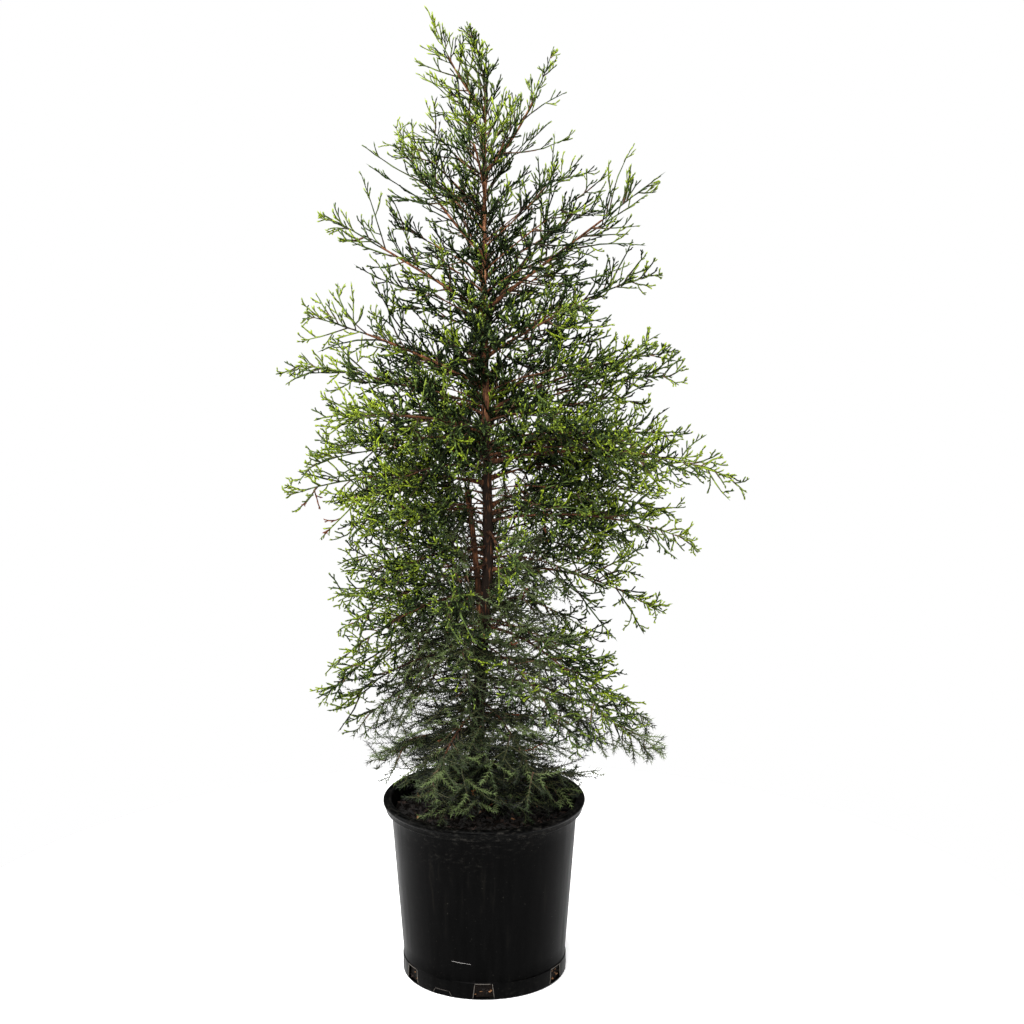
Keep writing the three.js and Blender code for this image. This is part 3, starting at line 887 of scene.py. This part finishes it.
def srgb(red, green, blue):
    """Linear colour of a display colour from 0 to 255."""
    def linear(value):
        share = value / 255
        return share / 12.92 if share <= 0.04045 else ((share + 0.055) / 1.055) ** 2.4
    return (linear(red), linear(green), linear(blue), 1.0)


def new_material(name, roughness, specular):
    material = bpy.data.materials.new(name)
    material.use_nodes = True
    shader = material.node_tree.nodes["Principled BSDF"]
    shader.inputs["Roughness"].default_value = roughness
    shader.inputs["Specular IOR Level"].default_value = specular
    return material, material.node_tree, shader


def plain(name, colour, roughness=0.6, specular=0.3):
    material, _, shader = new_material(name, roughness, specular)
    shader.inputs["Base Color"].default_value = srgb(*colour)
    return material


def node(tree, kind, output, inputs, **settings):
    """One output of a new node. Each input is a plain value or another node's output."""
    made = tree.nodes.new(kind)
    for key, value in settings.items():
        setattr(made, key, value)
    for socket, value in inputs.items():
        if isinstance(value, bpy.types.NodeSocket):
            tree.links.new(value, made.inputs[socket])
        else:
            made.inputs[socket].default_value = value
    return made.outputs[output]


def mapped_coordinates(tree, scale=(1, 1, 1)):
    """Object coordinates in metres, stretched by a scale for each axis."""
    place = node(tree, "ShaderNodeTexCoord", "Object", {})
    return node(tree, "ShaderNodeMapping", "Vector", {"Vector": place, "Scale": scale})


def height_in(tree, space):
    return node(tree, "ShaderNodeSeparateXYZ", "Z", {"Vector": space})


def noise(tree, vector, scale, detail=4.0, rough=0.55):
    inputs = {"Vector": vector, "Scale": scale, "Detail": detail, "Roughness": rough}
    return node(tree, "ShaderNodeTexNoise", "Fac", inputs)


def ramp(tree, factor, stops):
    """Colours along a factor: stops are pairs of a position and a display colour."""
    made = node(tree, "ShaderNodeValToRGB", "Color", {"Fac": factor})
    elements = made.node.color_ramp.elements
    while len(elements) < len(stops):
        elements.new(0.5)
    for element, (position, colour) in zip(elements, stops):
        element.position = position
        element.color = srgb(*colour)
    return made


def span(tree, value, low, high, to_low=0.0, to_high=1.0):
    """A value mapped from one range to another."""
    inputs = {"Value": value, "From Min": low, "From Max": high, "To Min": to_low, "To Max": to_high}
    return node(tree, "ShaderNodeMapRange", "Result", inputs)


def math_node(tree, operation, first, second):
    return node(tree, "ShaderNodeMath", "Value", {0: first, 1: second}, operation=operation)


def blended(tree, factor, first, colour):
    """A mix from another node's colour to a display colour."""
    inputs = {"Factor": factor, 6: first, 7: srgb(*colour)}
    return node(tree, "ShaderNodeMix", 2, inputs, data_type="RGBA")


def dress(tree, shader, colour, relief, distance, strength):
    """Gives a shader its colour and a fine relief."""
    inputs = {"Height": relief, "Distance": distance, "Strength": strength}
    tree.links.new(colour, shader.inputs["Base Color"])
    tree.links.new(node(tree, "ShaderNodeBump", "Normal", inputs), shader.inputs["Normal"])


def pot_plastic():
    """Black moulded plastic, dusty and scuffed below the rim and round the foot."""
    material, tree, shader = new_material("pot_plastic", 0.4, 0.02)
    plain_space = mapped_coordinates(tree)
    tall_space = mapped_coordinates(tree, (1, 1, 0.08))
    flat_space = mapped_coordinates(tree, (1, 1, 1.7))
    height = height_in(tree, plain_space)
    near_rim = span(tree, height, 0.17, 0.25)
    near_foot = span(tree, height, 0.03, 0.0)
    worn_places = math_node(tree, "MAXIMUM", near_rim, near_foot)
    scratches = span(tree, noise(tree, flat_space, 90, 10, 0.82), 0.54, 0.78)
    patches = span(tree, noise(tree, plain_space, 9, 2), 0.42, 0.62, 0.08, 0.9)
    scuffs = math_node(tree, "MULTIPLY", math_node(tree, "MULTIPLY", scratches, patches), worn_places)
    speckles = span(tree, noise(tree, plain_space, 420, 2), 0.72, 0.78, 0.0, 0.5)
    rim_wear = span(tree, noise(tree, flat_space, 120, 8, 0.75), 0.52, 0.74)
    band_foot = POT_HEIGHT - RIM_HEIGHT
    on_rim = span(tree, height, band_foot * MM, (band_foot + 1) * MM, 0.0, 0.55)
    wear = math_node(tree, "MAXIMUM", scuffs, math_node(tree, "MULTIPLY", rim_wear, on_rim))
    streaks = noise(tree, tall_space, 110, 4, 0.6)
    base = ramp(tree, streaks, [(0.35, (1, 1, 1)), (0.6, (3, 3, 3)), (0.75, (12, 11, 9))])
    worn = blended(tree, math_node(tree, "MAXIMUM", wear, speckles), base, SCUFF_GREY)
    tree.links.new(span(tree, streaks, 0.3, 0.7, 0.3, 0.46), shader.inputs["Roughness"])
    dress(tree, shader, worn, noise(tree, plain_space, 900, 2), 0.0002, 0.25)
    return material


def potting_mix():
    """Dark bark mix with paler crumbs, made darker than the mix itself as painted shade under the foliage.
    """
    material, tree, shader = new_material("potting_mix", 0.95, 0.1)
    # Painted shade: the mix's colours are kept near black for the shade under the foliage.
    crumbs = noise(tree, mapped_coordinates(tree), 130, 8, 0.7)
    stops = [(0.3, (4, 3, 2)), (0.5, (10, 7, 5)), (0.66, (22, 15, 10)), (0.8, (70, 46, 30))]
    dress(tree, shader, ramp(tree, crumbs, stops), crumbs, 0.004, 0.9)
    return material


def bark(name, browns, tones):
    """Thin stringy bark in strips, dark in the cracks, shifted by one tone low down and one high up as
    painted shade: darkest low down, where the crown shades the wood.
    """
    material, tree, shader = new_material(name, 0.9, 0.15)
    strips = noise(tree, mapped_coordinates(tree, (1, 1, 0.12)), 420, 6, 0.65)
    blotches = noise(tree, mapped_coordinates(tree, (1, 1, 0.5)), 60, 3)
    grain = math_node(tree, "MULTIPLY", strips, 0.7)
    tone = math_node(tree, "ADD", grain, math_node(tree, "MULTIPLY", blotches, 0.3))
    height = height_in(tree, mapped_coordinates(tree))
    # Painted shade: the colour darkens low down on the limb and less so high up.
    tone = math_node(tree, "ADD", tone, span(tree, height, 0.6, 1.05, *tones))
    colour = ramp(tree, tone, list(zip((0.36, 0.5, 0.64), browns)))
    dress(tree, shader, colour, strips, 0.0012, 0.8)
    return material


def cut_wood():
    """Sawn end of a pruned limb, pale orange with darker grain."""
    material, tree, shader = new_material("cut_wood", 0.75, 0.2)
    grain = noise(tree, mapped_coordinates(tree), 350, 4)
    colour = ramp(tree, grain, [(0.35, (150, 84, 46)), (0.65, (214, 146, 92))])
    dress(tree, shader, colour, grain, 0.0004, 0.5)
    return material


# Pot

def arc(centre, radius, start, end, steps):
    """Profile points on an arc, from one angle to another in degrees from outward."""
    angles = np.radians(np.linspace(start, end, steps))
    return [(centre[0] + radius * math.cos(a), centre[1] + radius * math.sin(a)) for a in angles]


def pot_profile():
    """Pairs of radius and height: from the underside up the outside, then down the inside to the floor."""
    band_foot = POT_HEIGHT - RIM_HEIGHT
    inner = WALL_TOP_RADIUS - WALL
    foot = [
        (FOOT_RADIUS - STANDING_RING[0], UNDERSIDE_RISE),
        (FOOT_RADIUS - STANDING_RING[1], 0),
        *arc((FOOT_RADIUS - FOOT_ROUND, FOOT_ROUND), FOOT_ROUND, -90, 0, 6),
        (FOOT_RADIUS, FOOT_HEIGHT - 1.2),
        *arc((FOOT_RADIUS - FOOT_EDGE, FOOT_HEIGHT - 1.0), FOOT_EDGE, 0, 80, 4),
    ]
    wall = [(wall_radius(z), z) for z in np.linspace(FOOT_HEIGHT + 1, band_foot - 3, WALL_RINGS)]
    rim = [
        (wall_radius(band_foot) + 0.6, band_foot - 0.6),
        *arc((RIM_BAND_RADIUS - BAND_EDGE, band_foot + BAND_EDGE), BAND_EDGE, -90, 0, 5),
        (RIM_BAND_RADIUS + 0.3, POT_HEIGHT - 2 * RIM_ROLL - 0.6),
        *arc((RIM_RADIUS - RIM_ROLL, POT_HEIGHT - RIM_ROLL), RIM_ROLL, -60, 100, 14),
    ]
    inside = [
        (inner + 5.5, POT_HEIGHT - 0.9),
        *arc((inner + 3, POT_HEIGHT - 3.4), LIP_ROUND, 80, 180, 6),
        (inner - 0.6, POT_HEIGHT - 12),
        (inner_radius(FOOT_HEIGHT), FOOT_HEIGHT),
        (inner_radius(FOOT_HEIGHT), FLOOR),
    ]
    return [*foot, *wall, *rim, *inside]


def lathe_object(name, profile, sides, material):
    """A profile turned about the upright axis, with a flat cap at its first and at its last point."""
    radii, heights = np.array(profile).T
    places = round_places(radii[:, None], turns_round(sides), heights[:, None]).reshape(-1, 3)
    quads = np.concatenate([ring_quads(ring, sides) for ring in range(len(profile) - 1)])
    bottom = list(reversed(range(sides)))
    top = [len(places) - sides + k for k in range(sides)]
    mesh = bpy.data.meshes.new(name)
    mesh.from_pydata((places * MM).tolist(), [], [*quads.tolist(), bottom, top])
    mesh.materials.append(material)
    return in_scene(name, mesh)


def cutter(openings, turn):
    """A block that cuts one opening into the pot's foot, at a turn from the front."""
    places = np.array([
        (sign * width / 2, depth, height)
        for depth in (-FOOT_RADIUS - CUTTER_PROUD, -FOOT_RADIUS + openings.depth)
        for width, height in ((openings.base_width, openings.low), (openings.top_width, openings.high))
        for sign in (-1, 1)
    ])
    made = mesh_object("cutter", places, BLOCK_QUADS, smooth=False)
    made.rotation_euler.z = turn
    return made


def cut_by(target, cutters):
    """Cuts the cutters out of a mesh and removes them."""
    for block in cutters:
        modifier = target.modifiers.new("cut", "BOOLEAN")
        modifier.operation = "DIFFERENCE"
        modifier.solver = "EXACT"
        modifier.object = block
    bpy.context.view_layer.update()
    made = bpy.data.meshes.new_from_object(target.evaluated_get(bpy.context.evaluated_depsgraph_get()))
    target.modifiers.clear()
    target.data = made
    for block in cutters:
        bpy.data.objects.remove(block)


def make_pot():
    pot = lathe_object("pot_shell", pot_profile(), POT_SIDES, pot_plastic())
    cut_by(pot, [cutter(openings, turn) for openings in (DRAINS, NOTCHES) for turn in openings.turns()])
    pot.data.polygons.foreach_set("use_smooth", np.ones(len(pot.data.polygons), bool))
    pot.data.set_sharp_from_angle(angle=SHARP_ANGLE)
    hand_in(pot, ["pot"])
    make_wear()


def on_wall(turn, height):
    """A point on the pot's outside at a turn from the front."""
    radius = FOOT_RADIUS if height < FOOT_HEIGHT else wall_radius(height)
    return np.array([radius * math.sin(turn), -radius * math.cos(turn), height])


def wall_line(start, end, steps, radius):
    """A thin raised line on the pot's outside between two pairs of turn and height."""
    points = [on_wall(*lerp(np.array(start), np.array(end), k / steps)) for k in range(steps + 1)]
    return tubes(np.array(points)[None], np.full((1, steps), radius), LINE_SIDES)


def opening_edges(openings, turn):
    """Raised lines along the sides and the top of one opening."""
    base = openings.base_width / 2 / WALL_BASE_RADIUS
    top = openings.top_width / 2 / WALL_BASE_RADIUS
    low, high = openings.edge_low, openings.high
    corners = [(turn - base, low), (turn - top, high), (turn + top, high), (turn + base, low)]
    return [wall_line(*ends, EDGE_STEPS, openings.edge_radius) for ends in zip(corners, corners[1:])]


def make_wear():
    """Pale frayed edges of the drain holes and of the foot notches, and one long scratch."""
    edges = []
    for openings in (DRAINS, NOTCHES):
        for turn in openings.turns():
            edges += opening_edges(openings, turn)
    make_piece("drain_edges", merged(edges), plain("worn_plastic", EDGE_GREY, 0.7), ["pot"])
    half = SCRATCH_LENGTH / 2 / WALL_BASE_RADIUS
    ends = (SCRATCH_TURN - half, SCRATCH_HEIGHT), (SCRATCH_TURN + half, SCRATCH_HEIGHT - SCRATCH_DROP)
    line = wall_line(*ends, SCRATCH_STEPS, SCRATCH_RADIUS)
    make_piece("scratch", line, plain("scratched_plastic", SCRATCH_GREY, 0.7), ["pot"])


# Soil

def make_soil():
    inside = inner_radius(FOOT_HEIGHT) - SOIL_GAP
    brim = inner_radius(SOIL_TOP) - SOIL_GAP
    profile = [
        (inside, FLOOR + SOIL_GAP),
        (inside, FOOT_HEIGHT),
        (brim, SOIL_TOP - 3),
        *((radius, SOIL_TOP - SOIL_DIP) for radius in np.linspace(brim - 1, 4, SOIL_RINGS)),
    ]
    soil = lathe_object("potting_mix", profile, SOIL_SIDES, potting_mix())
    places = np.empty(len(soil.data.vertices) * 3, np.float32)
    soil.data.vertices.foreach_get("co", places)
    places = places.reshape(-1, 3)
    on_top = places[:, 2] > (SOIL_TOP - SOIL_DIP - 0.5) * MM
    places[on_top, 2] += rng.uniform(*SOIL_ROUGHNESS, on_top.sum()) * MM
    soil.data.vertices.foreach_set("co", places.ravel())
    soil.data.update()
    hand_in(soil, ["soil"])


def chip_places():
    """Centres of loose bark chips: over the soil's top, and just inside each drain hole."""
    radius = (wall_radius(SOIL_TOP) - CHIP_MARGIN) * np.sqrt(rng.random(CHIPS_ON_TOP))
    turn = 2 * np.pi * rng.random(CHIPS_ON_TOP)
    groups = [round_places(radius, turn, SOIL_TOP + rng.uniform(*CHIP_HEIGHTS, CHIPS_ON_TOP))]
    half = DRAINS.base_width / 2
    for drain in DRAINS.turns():
        across = rng.uniform(-half, half, CHIPS_PER_DRAIN) / WALL_BASE_RADIUS
        radius = WALL_BASE_RADIUS - WALL - rng.uniform(*DRAIN_CHIP_DEPTHS, CHIPS_PER_DRAIN)
        height = rng.uniform(DRAINS.low + DRAIN_CHIP_RISE, DRAINS.high, CHIPS_PER_DRAIN)
        groups.append(round_places(radius, drain - np.pi / 2 + across, height))
    return np.concatenate(groups)


def make_chips():
    centres = chip_places()
    count = len(centres)
    along = unit(rng.normal(0, 1, (count, 3)) * CHIP_LEVELLING)
    across = unit(np.cross(along, rng.normal(0, 1, (count, 3)) * CHIP_TILT + UP))
    frames = np.stack([along, across, np.cross(along, across)], axis=1)
    in_drain = np.arange(count) >= CHIPS_ON_TOP
    size = rng.uniform(*CHIP_SIZES, (count, 3)) * np.where(in_drain, DRAIN_CHIP_SIZE, 1)[:, None]
    signs = np.array([[x, y, z] for x in (-1, 1) for y in (-1, 1) for z in (-1, 1)], float)
    corners = signs[None] * rng.uniform(*CHIP_CORNERS, (count, 8, 3)) * size[:, None] / 2 * CHIP_SWELL
    places = centres[:, None] + np.einsum("nki,nij->nkj", corners, frames)
    shade = np.concatenate([
        rng.choice(len(CHIP_BROWNS), CHIPS_ON_TOP, p=CHIP_SHARES),
        rng.choice(len(CHIP_BROWNS), count - CHIPS_ON_TOP, p=DRAIN_CHIP_SHARES),
    ])
    groups = [places[shade == k] for k in range(len(CHIP_BROWNS))]
    meshes = [(group.reshape(-1, 3), repeated(BLOCK_QUADS, len(group), 8)) for group in groups]
    make_shades("bark_chips", "bark_chip", CHIP_BROWNS, meshes, ["soil"], 0.85, smooth=False)


# Bark: trunk, boughs and second stem

def strip_relief(around, along, cells, cell_length, seed):
    """Smooth random relief from 0 to 1 that closes round a limb: around in turns, along in mm."""
    rows = int(np.max(along) / cell_length) + 3
    lattice = np.random.default_rng(seed).random((cells, rows))
    u, v = around * cells, along / cell_length
    i, j = np.floor(u).astype(int), np.floor(v).astype(int)
    s, t = u - i, v - j
    s, t = s * s * (3 - 2 * s), t * t * (3 - 2 * t)
    near = lerp(lattice[i % cells, j], lattice[(i + 1) % cells, j], s)
    far = lerp(lattice[i % cells, j + 1], lattice[(i + 1) % cells, j + 1], s)
    return lerp(near, far, t)


def bark_relief(sides, distance, radius, seed):
    """Radii of rough bark, one row for each distance along the limb."""
    around = np.broadcast_to(np.arange(sides) / sides, (len(distance), sides))
    along = np.broadcast_to(distance[:, None], around.shape)
    broad = 1 - np.abs(2 * strip_relief(around, along, BROAD_STRIPS, BROAD_LENGTH, seed) - 1)
    fine = strip_relief(around, along, max(sides // 2, FINE_STRIPS), FINE_LENGTH, seed + 1)
    return radius[:, None] * (1 + BROAD_DEPTH * (broad - 0.5) + FINE_DEPTH * (fine - 0.5))


def trunk_mesh():
    heights = np.arange(TRUNK[0, 0], TRUNK_TOP, TRUNK_PITCH)
    points = trunk_point(np.append(heights, TRUNK_TOP + 2))
    above_soil = heights - heights[0]
    radii = bark_relief(TRUNK_SIDES, above_soil, trunk_radius(heights), TRUNK_SEED)
    lobes = np.cos(FLARE_LOBES * turns_round(TRUNK_SIDES) + FLARE_TURN)
    flare = np.exp(-above_soil / FLARE_FADE)[:, None] * FLARE_DEPTH * lobes
    return tubes(points[None], (radii * (1 + flare))[None], TRUNK_SIDES)


def limb_mesh(limb, seed, sides, pitch):
    """The inner part of a limb, swelling to a collar where it leaves the trunk."""
    length = curve_length(limb.controls)
    shares = np.linspace(0, BARK_END, int(length * BARK_END / pitch) + 2)
    points = bezier(limb.controls, shares)
    distance = shares[:-1] * length
    from_trunk = np.maximum(distance - trunk_radius(limb.controls[0, 2]), 0)
    collar = 1 + COLLAR_SWELL * np.exp(-from_trunk / COLLAR_FADE)
    radii = bark_relief(sides, distance, limb_radius(limb, shares[:-1]) * collar, seed)
    return tubes(points[None], radii[None], sides)


def make_wood():
    trunk_bark = bark("trunk_bark", TRUNK_BROWNS, TRUNK_SHADE_TONES)
    bough_bark = bark("bough_bark", BOUGH_BROWNS, BOUGH_SHADE_TONES)
    make_piece("trunk_bark", trunk_mesh(), trunk_bark, ["trunk"])
    for number, limb in enumerate(LIMBS):
        mesh = limb_mesh(limb, LIMB_SEED + 2 * number, LIMB_SIDES, LIMB_PITCH)
        stands_for = OTHER_NODES.get(limb.name, f"bough_{limb.name}")
        make_piece(f"limb_{limb.name}", mesh, bough_bark, [stands_for])
    parts = [
        limb_mesh(limb, MINOR_SEED + 2 * number, MINOR_SIDES, MINOR_PITCH)
        for number, limb in enumerate(MINORS)
    ]
    make_piece("minor_boughs", merged(parts), bough_bark, MASSES)
    make_stubs(trunk_bark)


def make_stubs(trunk_bark):
    """Pruned stubs on the trunk, with the sawn face of each."""
    sawn = cut_wood()
    for number, (height, azimuth, radius, length) in enumerate(STUBS, 1):
        outward = round_places(1, azimuth, STUB_RISE)
        reach = trunk_radius(height) + length
        forms = [
            ("pruned_stub", np.append(reach * STUB_SHARES, reach + STUB_TIP), STUB_WIDTHS, trunk_bark),
            ("sawn_face", reach + FACE_PLACES, FACE_WIDTHS, sawn),
        ]
        for kind, distances, widths, look in forms:
            points = trunk_point(height) + outward * distances[:, None]
            mesh = tubes(points[None], radius * widths[None], STUB_SIDES)
            make_piece(f"{kind}_{number}", mesh, look, ["trunk"])


# Foliage

def cord_mesh(shoots, radius, form):
    """Cords of scale leaves: three-sided, each ring turned on the last, swelling and narrowing."""
    shares, swell = form
    points = points_along(shoots, shares)
    slimmer = from_pairs(SLIMMER_WITH_HEIGHT, points[:, 0, 2])
    radii = radius * swell * (slimmer * rng.uniform(*CORD_SCATTER, len(points)))[:, None]
    return tubes(points, radii, 3, CORD_TWIST)


def twig_mesh(shoots, radii, rings):
    """Three-sided twigs that taper between two radii."""
    shares = np.linspace(0, 1, rings + 1)
    points = points_along(shoots, shares)
    widths = np.broadcast_to(lerp(*radii, shares[:-1]), (len(points), rings))
    return tubes(points, widths, 3)


def needle_mesh(shoots, start):
    """Needles in whorls along shoots, shorter and closer to the shoot at its tip."""
    pitch = from_pairs(NEEDLE_PITCH, shoots.controls[:, 1, 2])
    whorls = np.maximum((shoots.length * (1 - start) / pitch).astype(int), FEWEST_WHORLS)
    owner, order = numbered(whorls * NEEDLES_PER_WHORL)
    whorl = order // NEEDLES_PER_WHORL
    place = start + (1 - start) * (whorl + rng.random(len(owner))) / whorls[owner]
    roll = 2 * np.pi * order / NEEDLES_PER_WHORL + whorl * np.pi / 2
    roll = roll + rng.normal(0, NEEDLE_ROLL_SCATTER, len(owner))
    controls = shoots.controls[owner]
    angle = lerp(*NEEDLE_ANGLES, place) + rng.normal(0, NEEDLE_ANGLE_SCATTER, len(owner))
    along = leaving(heading(controls, place), angle, roll)
    roots = bezier(controls, place)
    longest = from_pairs(NEEDLE_LENGTH, roots[:, 2])
    length = longest * rng.uniform(*NEEDLE_SCATTER, len(owner)) * lerp(*NEEDLE_TAPER, place)
    width = from_pairs(NEEDLE_WIDTH, roots[:, 2])
    return needles(roots, roots + along * length[:, None], width[:, None])


def tone_with_painted_light(shoots):
    """How pale a shoot's green is: palest at the crown's outside and top and darkest deep inside and low
    down, partly as painted light and shade, with random scatter by spray and shoot.
    """
    middle = bezier(shoots.controls, 0.6)
    outward = np.clip(reach_share(middle), 0, 1)
    height = from_pairs(PAINTED_LIGHT_AND_SHADE_BY_HEIGHT, middle[:, 2])
    by_spray = rng.normal(0, SPRAY_SCATTER, shoots.owner.max() + 1)[shoots.owner]
    return TONE_AND_PAINTED_SHADE_BY_REACH * outward + height + by_spray + rng.normal(0, SHOOT_SCATTER, len(middle))


def dealt(groups, tones, levels):
    """The shoots of each group in every level of tone, darkest first, the levels of equal size."""
    edges = np.quantile(np.concatenate(tones), np.linspace(0, 1, levels + 1)[1:-1])
    shades = [np.searchsorted(edges, tone) for tone in tones]
    return [[group.chosen(shade == k) for group, shade in zip(groups, shades)] for k in range(levels)]


def make_foliage():
    bearing = [*LIMBS, *MINORS]
    twigs = joined_shoots([
        *(source_twigs(limb) for limb in bearing),
        *(infill_twigs(limb) for limb in bearing),
        trunk_twigs(),
    ])
    twigs = twigs.chosen(~in_clearing(twigs))
    ends = joined_shoots([limb_end(limb) for limb in bearing])
    shoots = side_shoots(joined_shoots([twigs, ends]), SHOOT_RULE)
    shoots = shoots.chosen(~in_clearing(shoots))
    make_twigs(twigs)
    shoots = make_dead_sprays(shoots)
    ripe, ripe_twig, ripe_end = is_ripe(shoots), is_ripe(twigs), is_ripe(ends)
    green = joined_shoots([part_of(twigs.chosen(ripe_twig), TWIG_GREEN_START, 1), ends.chosen(ripe_end)])
    barbed = joined_shoots([part_of(twigs.chosen(~ripe_twig), TWIG_NEEDLE_START, 1), ends.chosen(~ripe_end)])
    make_scale_foliage(shoots.chosen(ripe), green)
    make_needle_foliage(shoots.chosen(~ripe), barbed)


def make_twigs(twigs):
    """The brown inner part of every twig."""
    shade = rng.integers(0, len(TWIG_BROWNS), len(twigs.length))
    wood = part_of(twigs, 0, TWIG_WOOD_END)
    groups = [wood.chosen(shade == k) for k in range(len(TWIG_BROWNS))]
    meshes = [twig_mesh(group, TWIG_RADII, TWIG_RINGS) for group in groups]
    make_shades("twigs", "twig_brown", TWIG_BROWNS, meshes, MASSES, 0.8)


def make_dead_sprays(shoots):
    """Browns a few sprays, those nearest to a place among them, and gives back the living ones."""
    tips = shoots.controls[:, 2]
    dead = rng.random(len(tips)) < DEAD_SHARE
    dead &= (reach_share(tips) < DEAD_REACH) & (tips[:, 2] < DEAD_HEIGHT)
    dead[np.argsort(np.linalg.norm(tips - DEAD_PLACE, axis=1))[:DEAD_NEAREST]] = True
    withered = shoots.chosen(dead)
    forks = side_shoots(withered, FORK_RULE)
    parts = [cord_mesh(withered, CORD_RADIUS, LONG_CORD), cord_mesh(forks, CORD_RADIUS, SHORT_CORD)]
    make_piece("dead_sprays", merged(parts), plain("dead_brown", DEAD_BROWN, 0.85), MASSES)
    return shoots.chosen(~dead)


def make_scale_foliage(shoots, ends):
    """Cords on shoots, branchlets and the ends of twigs and limbs."""
    branchlets = side_shoots(joined_shoots([shoots, part_of(ends, WHIP_BARE, 1)]), BRANCHLET_RULE)
    tone = tone_with_painted_light(shoots)
    end_tone = tone_with_painted_light(ends)
    branchlet_tone = np.concatenate([tone, end_tone])[branchlets.owner] + TONE_BY_PLACE * branchlets.place
    branchlet_tone = branchlet_tone + rng.normal(0, SHOOT_SCATTER, len(branchlet_tone))
    forms = [(CORD_RADIUS, LONG_CORD), (CORD_RADIUS, SHORT_CORD), (WHIP_RADIUS, WHIP)]
    tones = [tone, branchlet_tone, end_tone]
    shades = dealt([shoots, branchlets, ends], tones, len(SCALE_GREENS))
    meshes = [merged([cord_mesh(group, *form) for group, form in zip(shade, forms)]) for shade in shades]
    make_shades("scale_sprays", "scale_green", SCALE_GREENS, meshes, MASSES, 0.5, 0.1)


def make_needle_foliage(shoots, ends):
    """Needles on shoots and on the ends of twigs and limbs, with their stems."""
    tones = [tone_with_painted_light(shoots), tone_with_painted_light(ends)]
    meshes = [
        merged([needle_mesh(group, NEEDLE_START), needle_mesh(end_group, 0)])
        for group, end_group in dealt([shoots, ends], tones, len(NEEDLE_GREENS))
    ]
    make_shades("needle_sprays", "needle_green", NEEDLE_GREENS, meshes, MASSES, 0.55, 0.15, False)
    parts = [twig_mesh(shoots, STEM_RADII, STEM_RINGS), twig_mesh(ends, END_RADII, END_RINGS)]
    make_piece("needle_stems", merged(parts), plain("stem_green", STEM_GREEN), MASSES)


# Studio

def make_stage():
    """A white floor that glows a little, just under the pot."""
    material, _, shader = new_material("floor_white", 0.9, 0.1)
    shader.inputs["Base Color"].default_value = (0.9, 0.9, 0.9, 1)
    shader.inputs["Emission Color"].default_value = WHITE
    shader.inputs["Emission Strength"].default_value = FLOOR_GLOW
    rim = round_places(FLOOR_RADIUS, turns_round(FLOOR_SIDES), 0)
    floor = mesh_object("floor", rim, np.arange(FLOOR_SIDES)[None], material, smooth=False)
    floor.location.z = -FLOOR_DROP * MM


def make_light(name, place, target, size, power):
    data = bpy.data.lights.new(name, "AREA")
    data.shape = "RECTANGLE"
    data.size, data.size_y = size
    data.energy = power
    light = in_scene(name, data)
    light.location = place
    x, y, z = np.array(target) - np.array(place)
    light.rotation_euler = (math.atan2(math.hypot(x, y), -z), 0, math.atan2(y, x) - math.pi / 2)


def make_world():
    """White behind everything for the camera, and a faint white glow for the plant."""
    world = bpy.data.worlds.new("studio")
    bpy.context.scene.world = world
    world.use_nodes = True
    tree = world.node_tree
    tree.nodes.clear()
    to_camera = node(tree, "ShaderNodeLightPath", "Is Camera Ray", {})
    glow, backdrop = (
        node(tree, "ShaderNodeBackground", "Background", {"Strength": strength, "Color": WHITE})
        for strength in (WORLD_GLOW, BACKDROP_GLOW)
    )
    mix = node(tree, "ShaderNodeMixShader", "Shader", {"Fac": to_camera, 1: glow, 2: backdrop})
    tree.links.new(mix, tree.nodes.new("ShaderNodeOutputWorld").inputs["Surface"])


def make_studio():
    make_world()
    for light in LIGHTS:
        make_light(*light)
    camera = in_scene("camera", bpy.data.cameras.new("camera"))
    camera.data.lens = CAMERA_LENS
    camera.data.sensor_width = CAMERA_SENSOR
    camera.location = CAMERA_PLACE
    camera.rotation_euler = (math.pi / 2 - CAMERA_PITCH, 0, 0)
    bpy.context.scene.camera = camera
    bpy.context.scene.view_settings.view_transform = "Standard"


make_studio()
make_stage()
make_pot()
make_soil()
make_chips()
make_wood()
make_foliage()
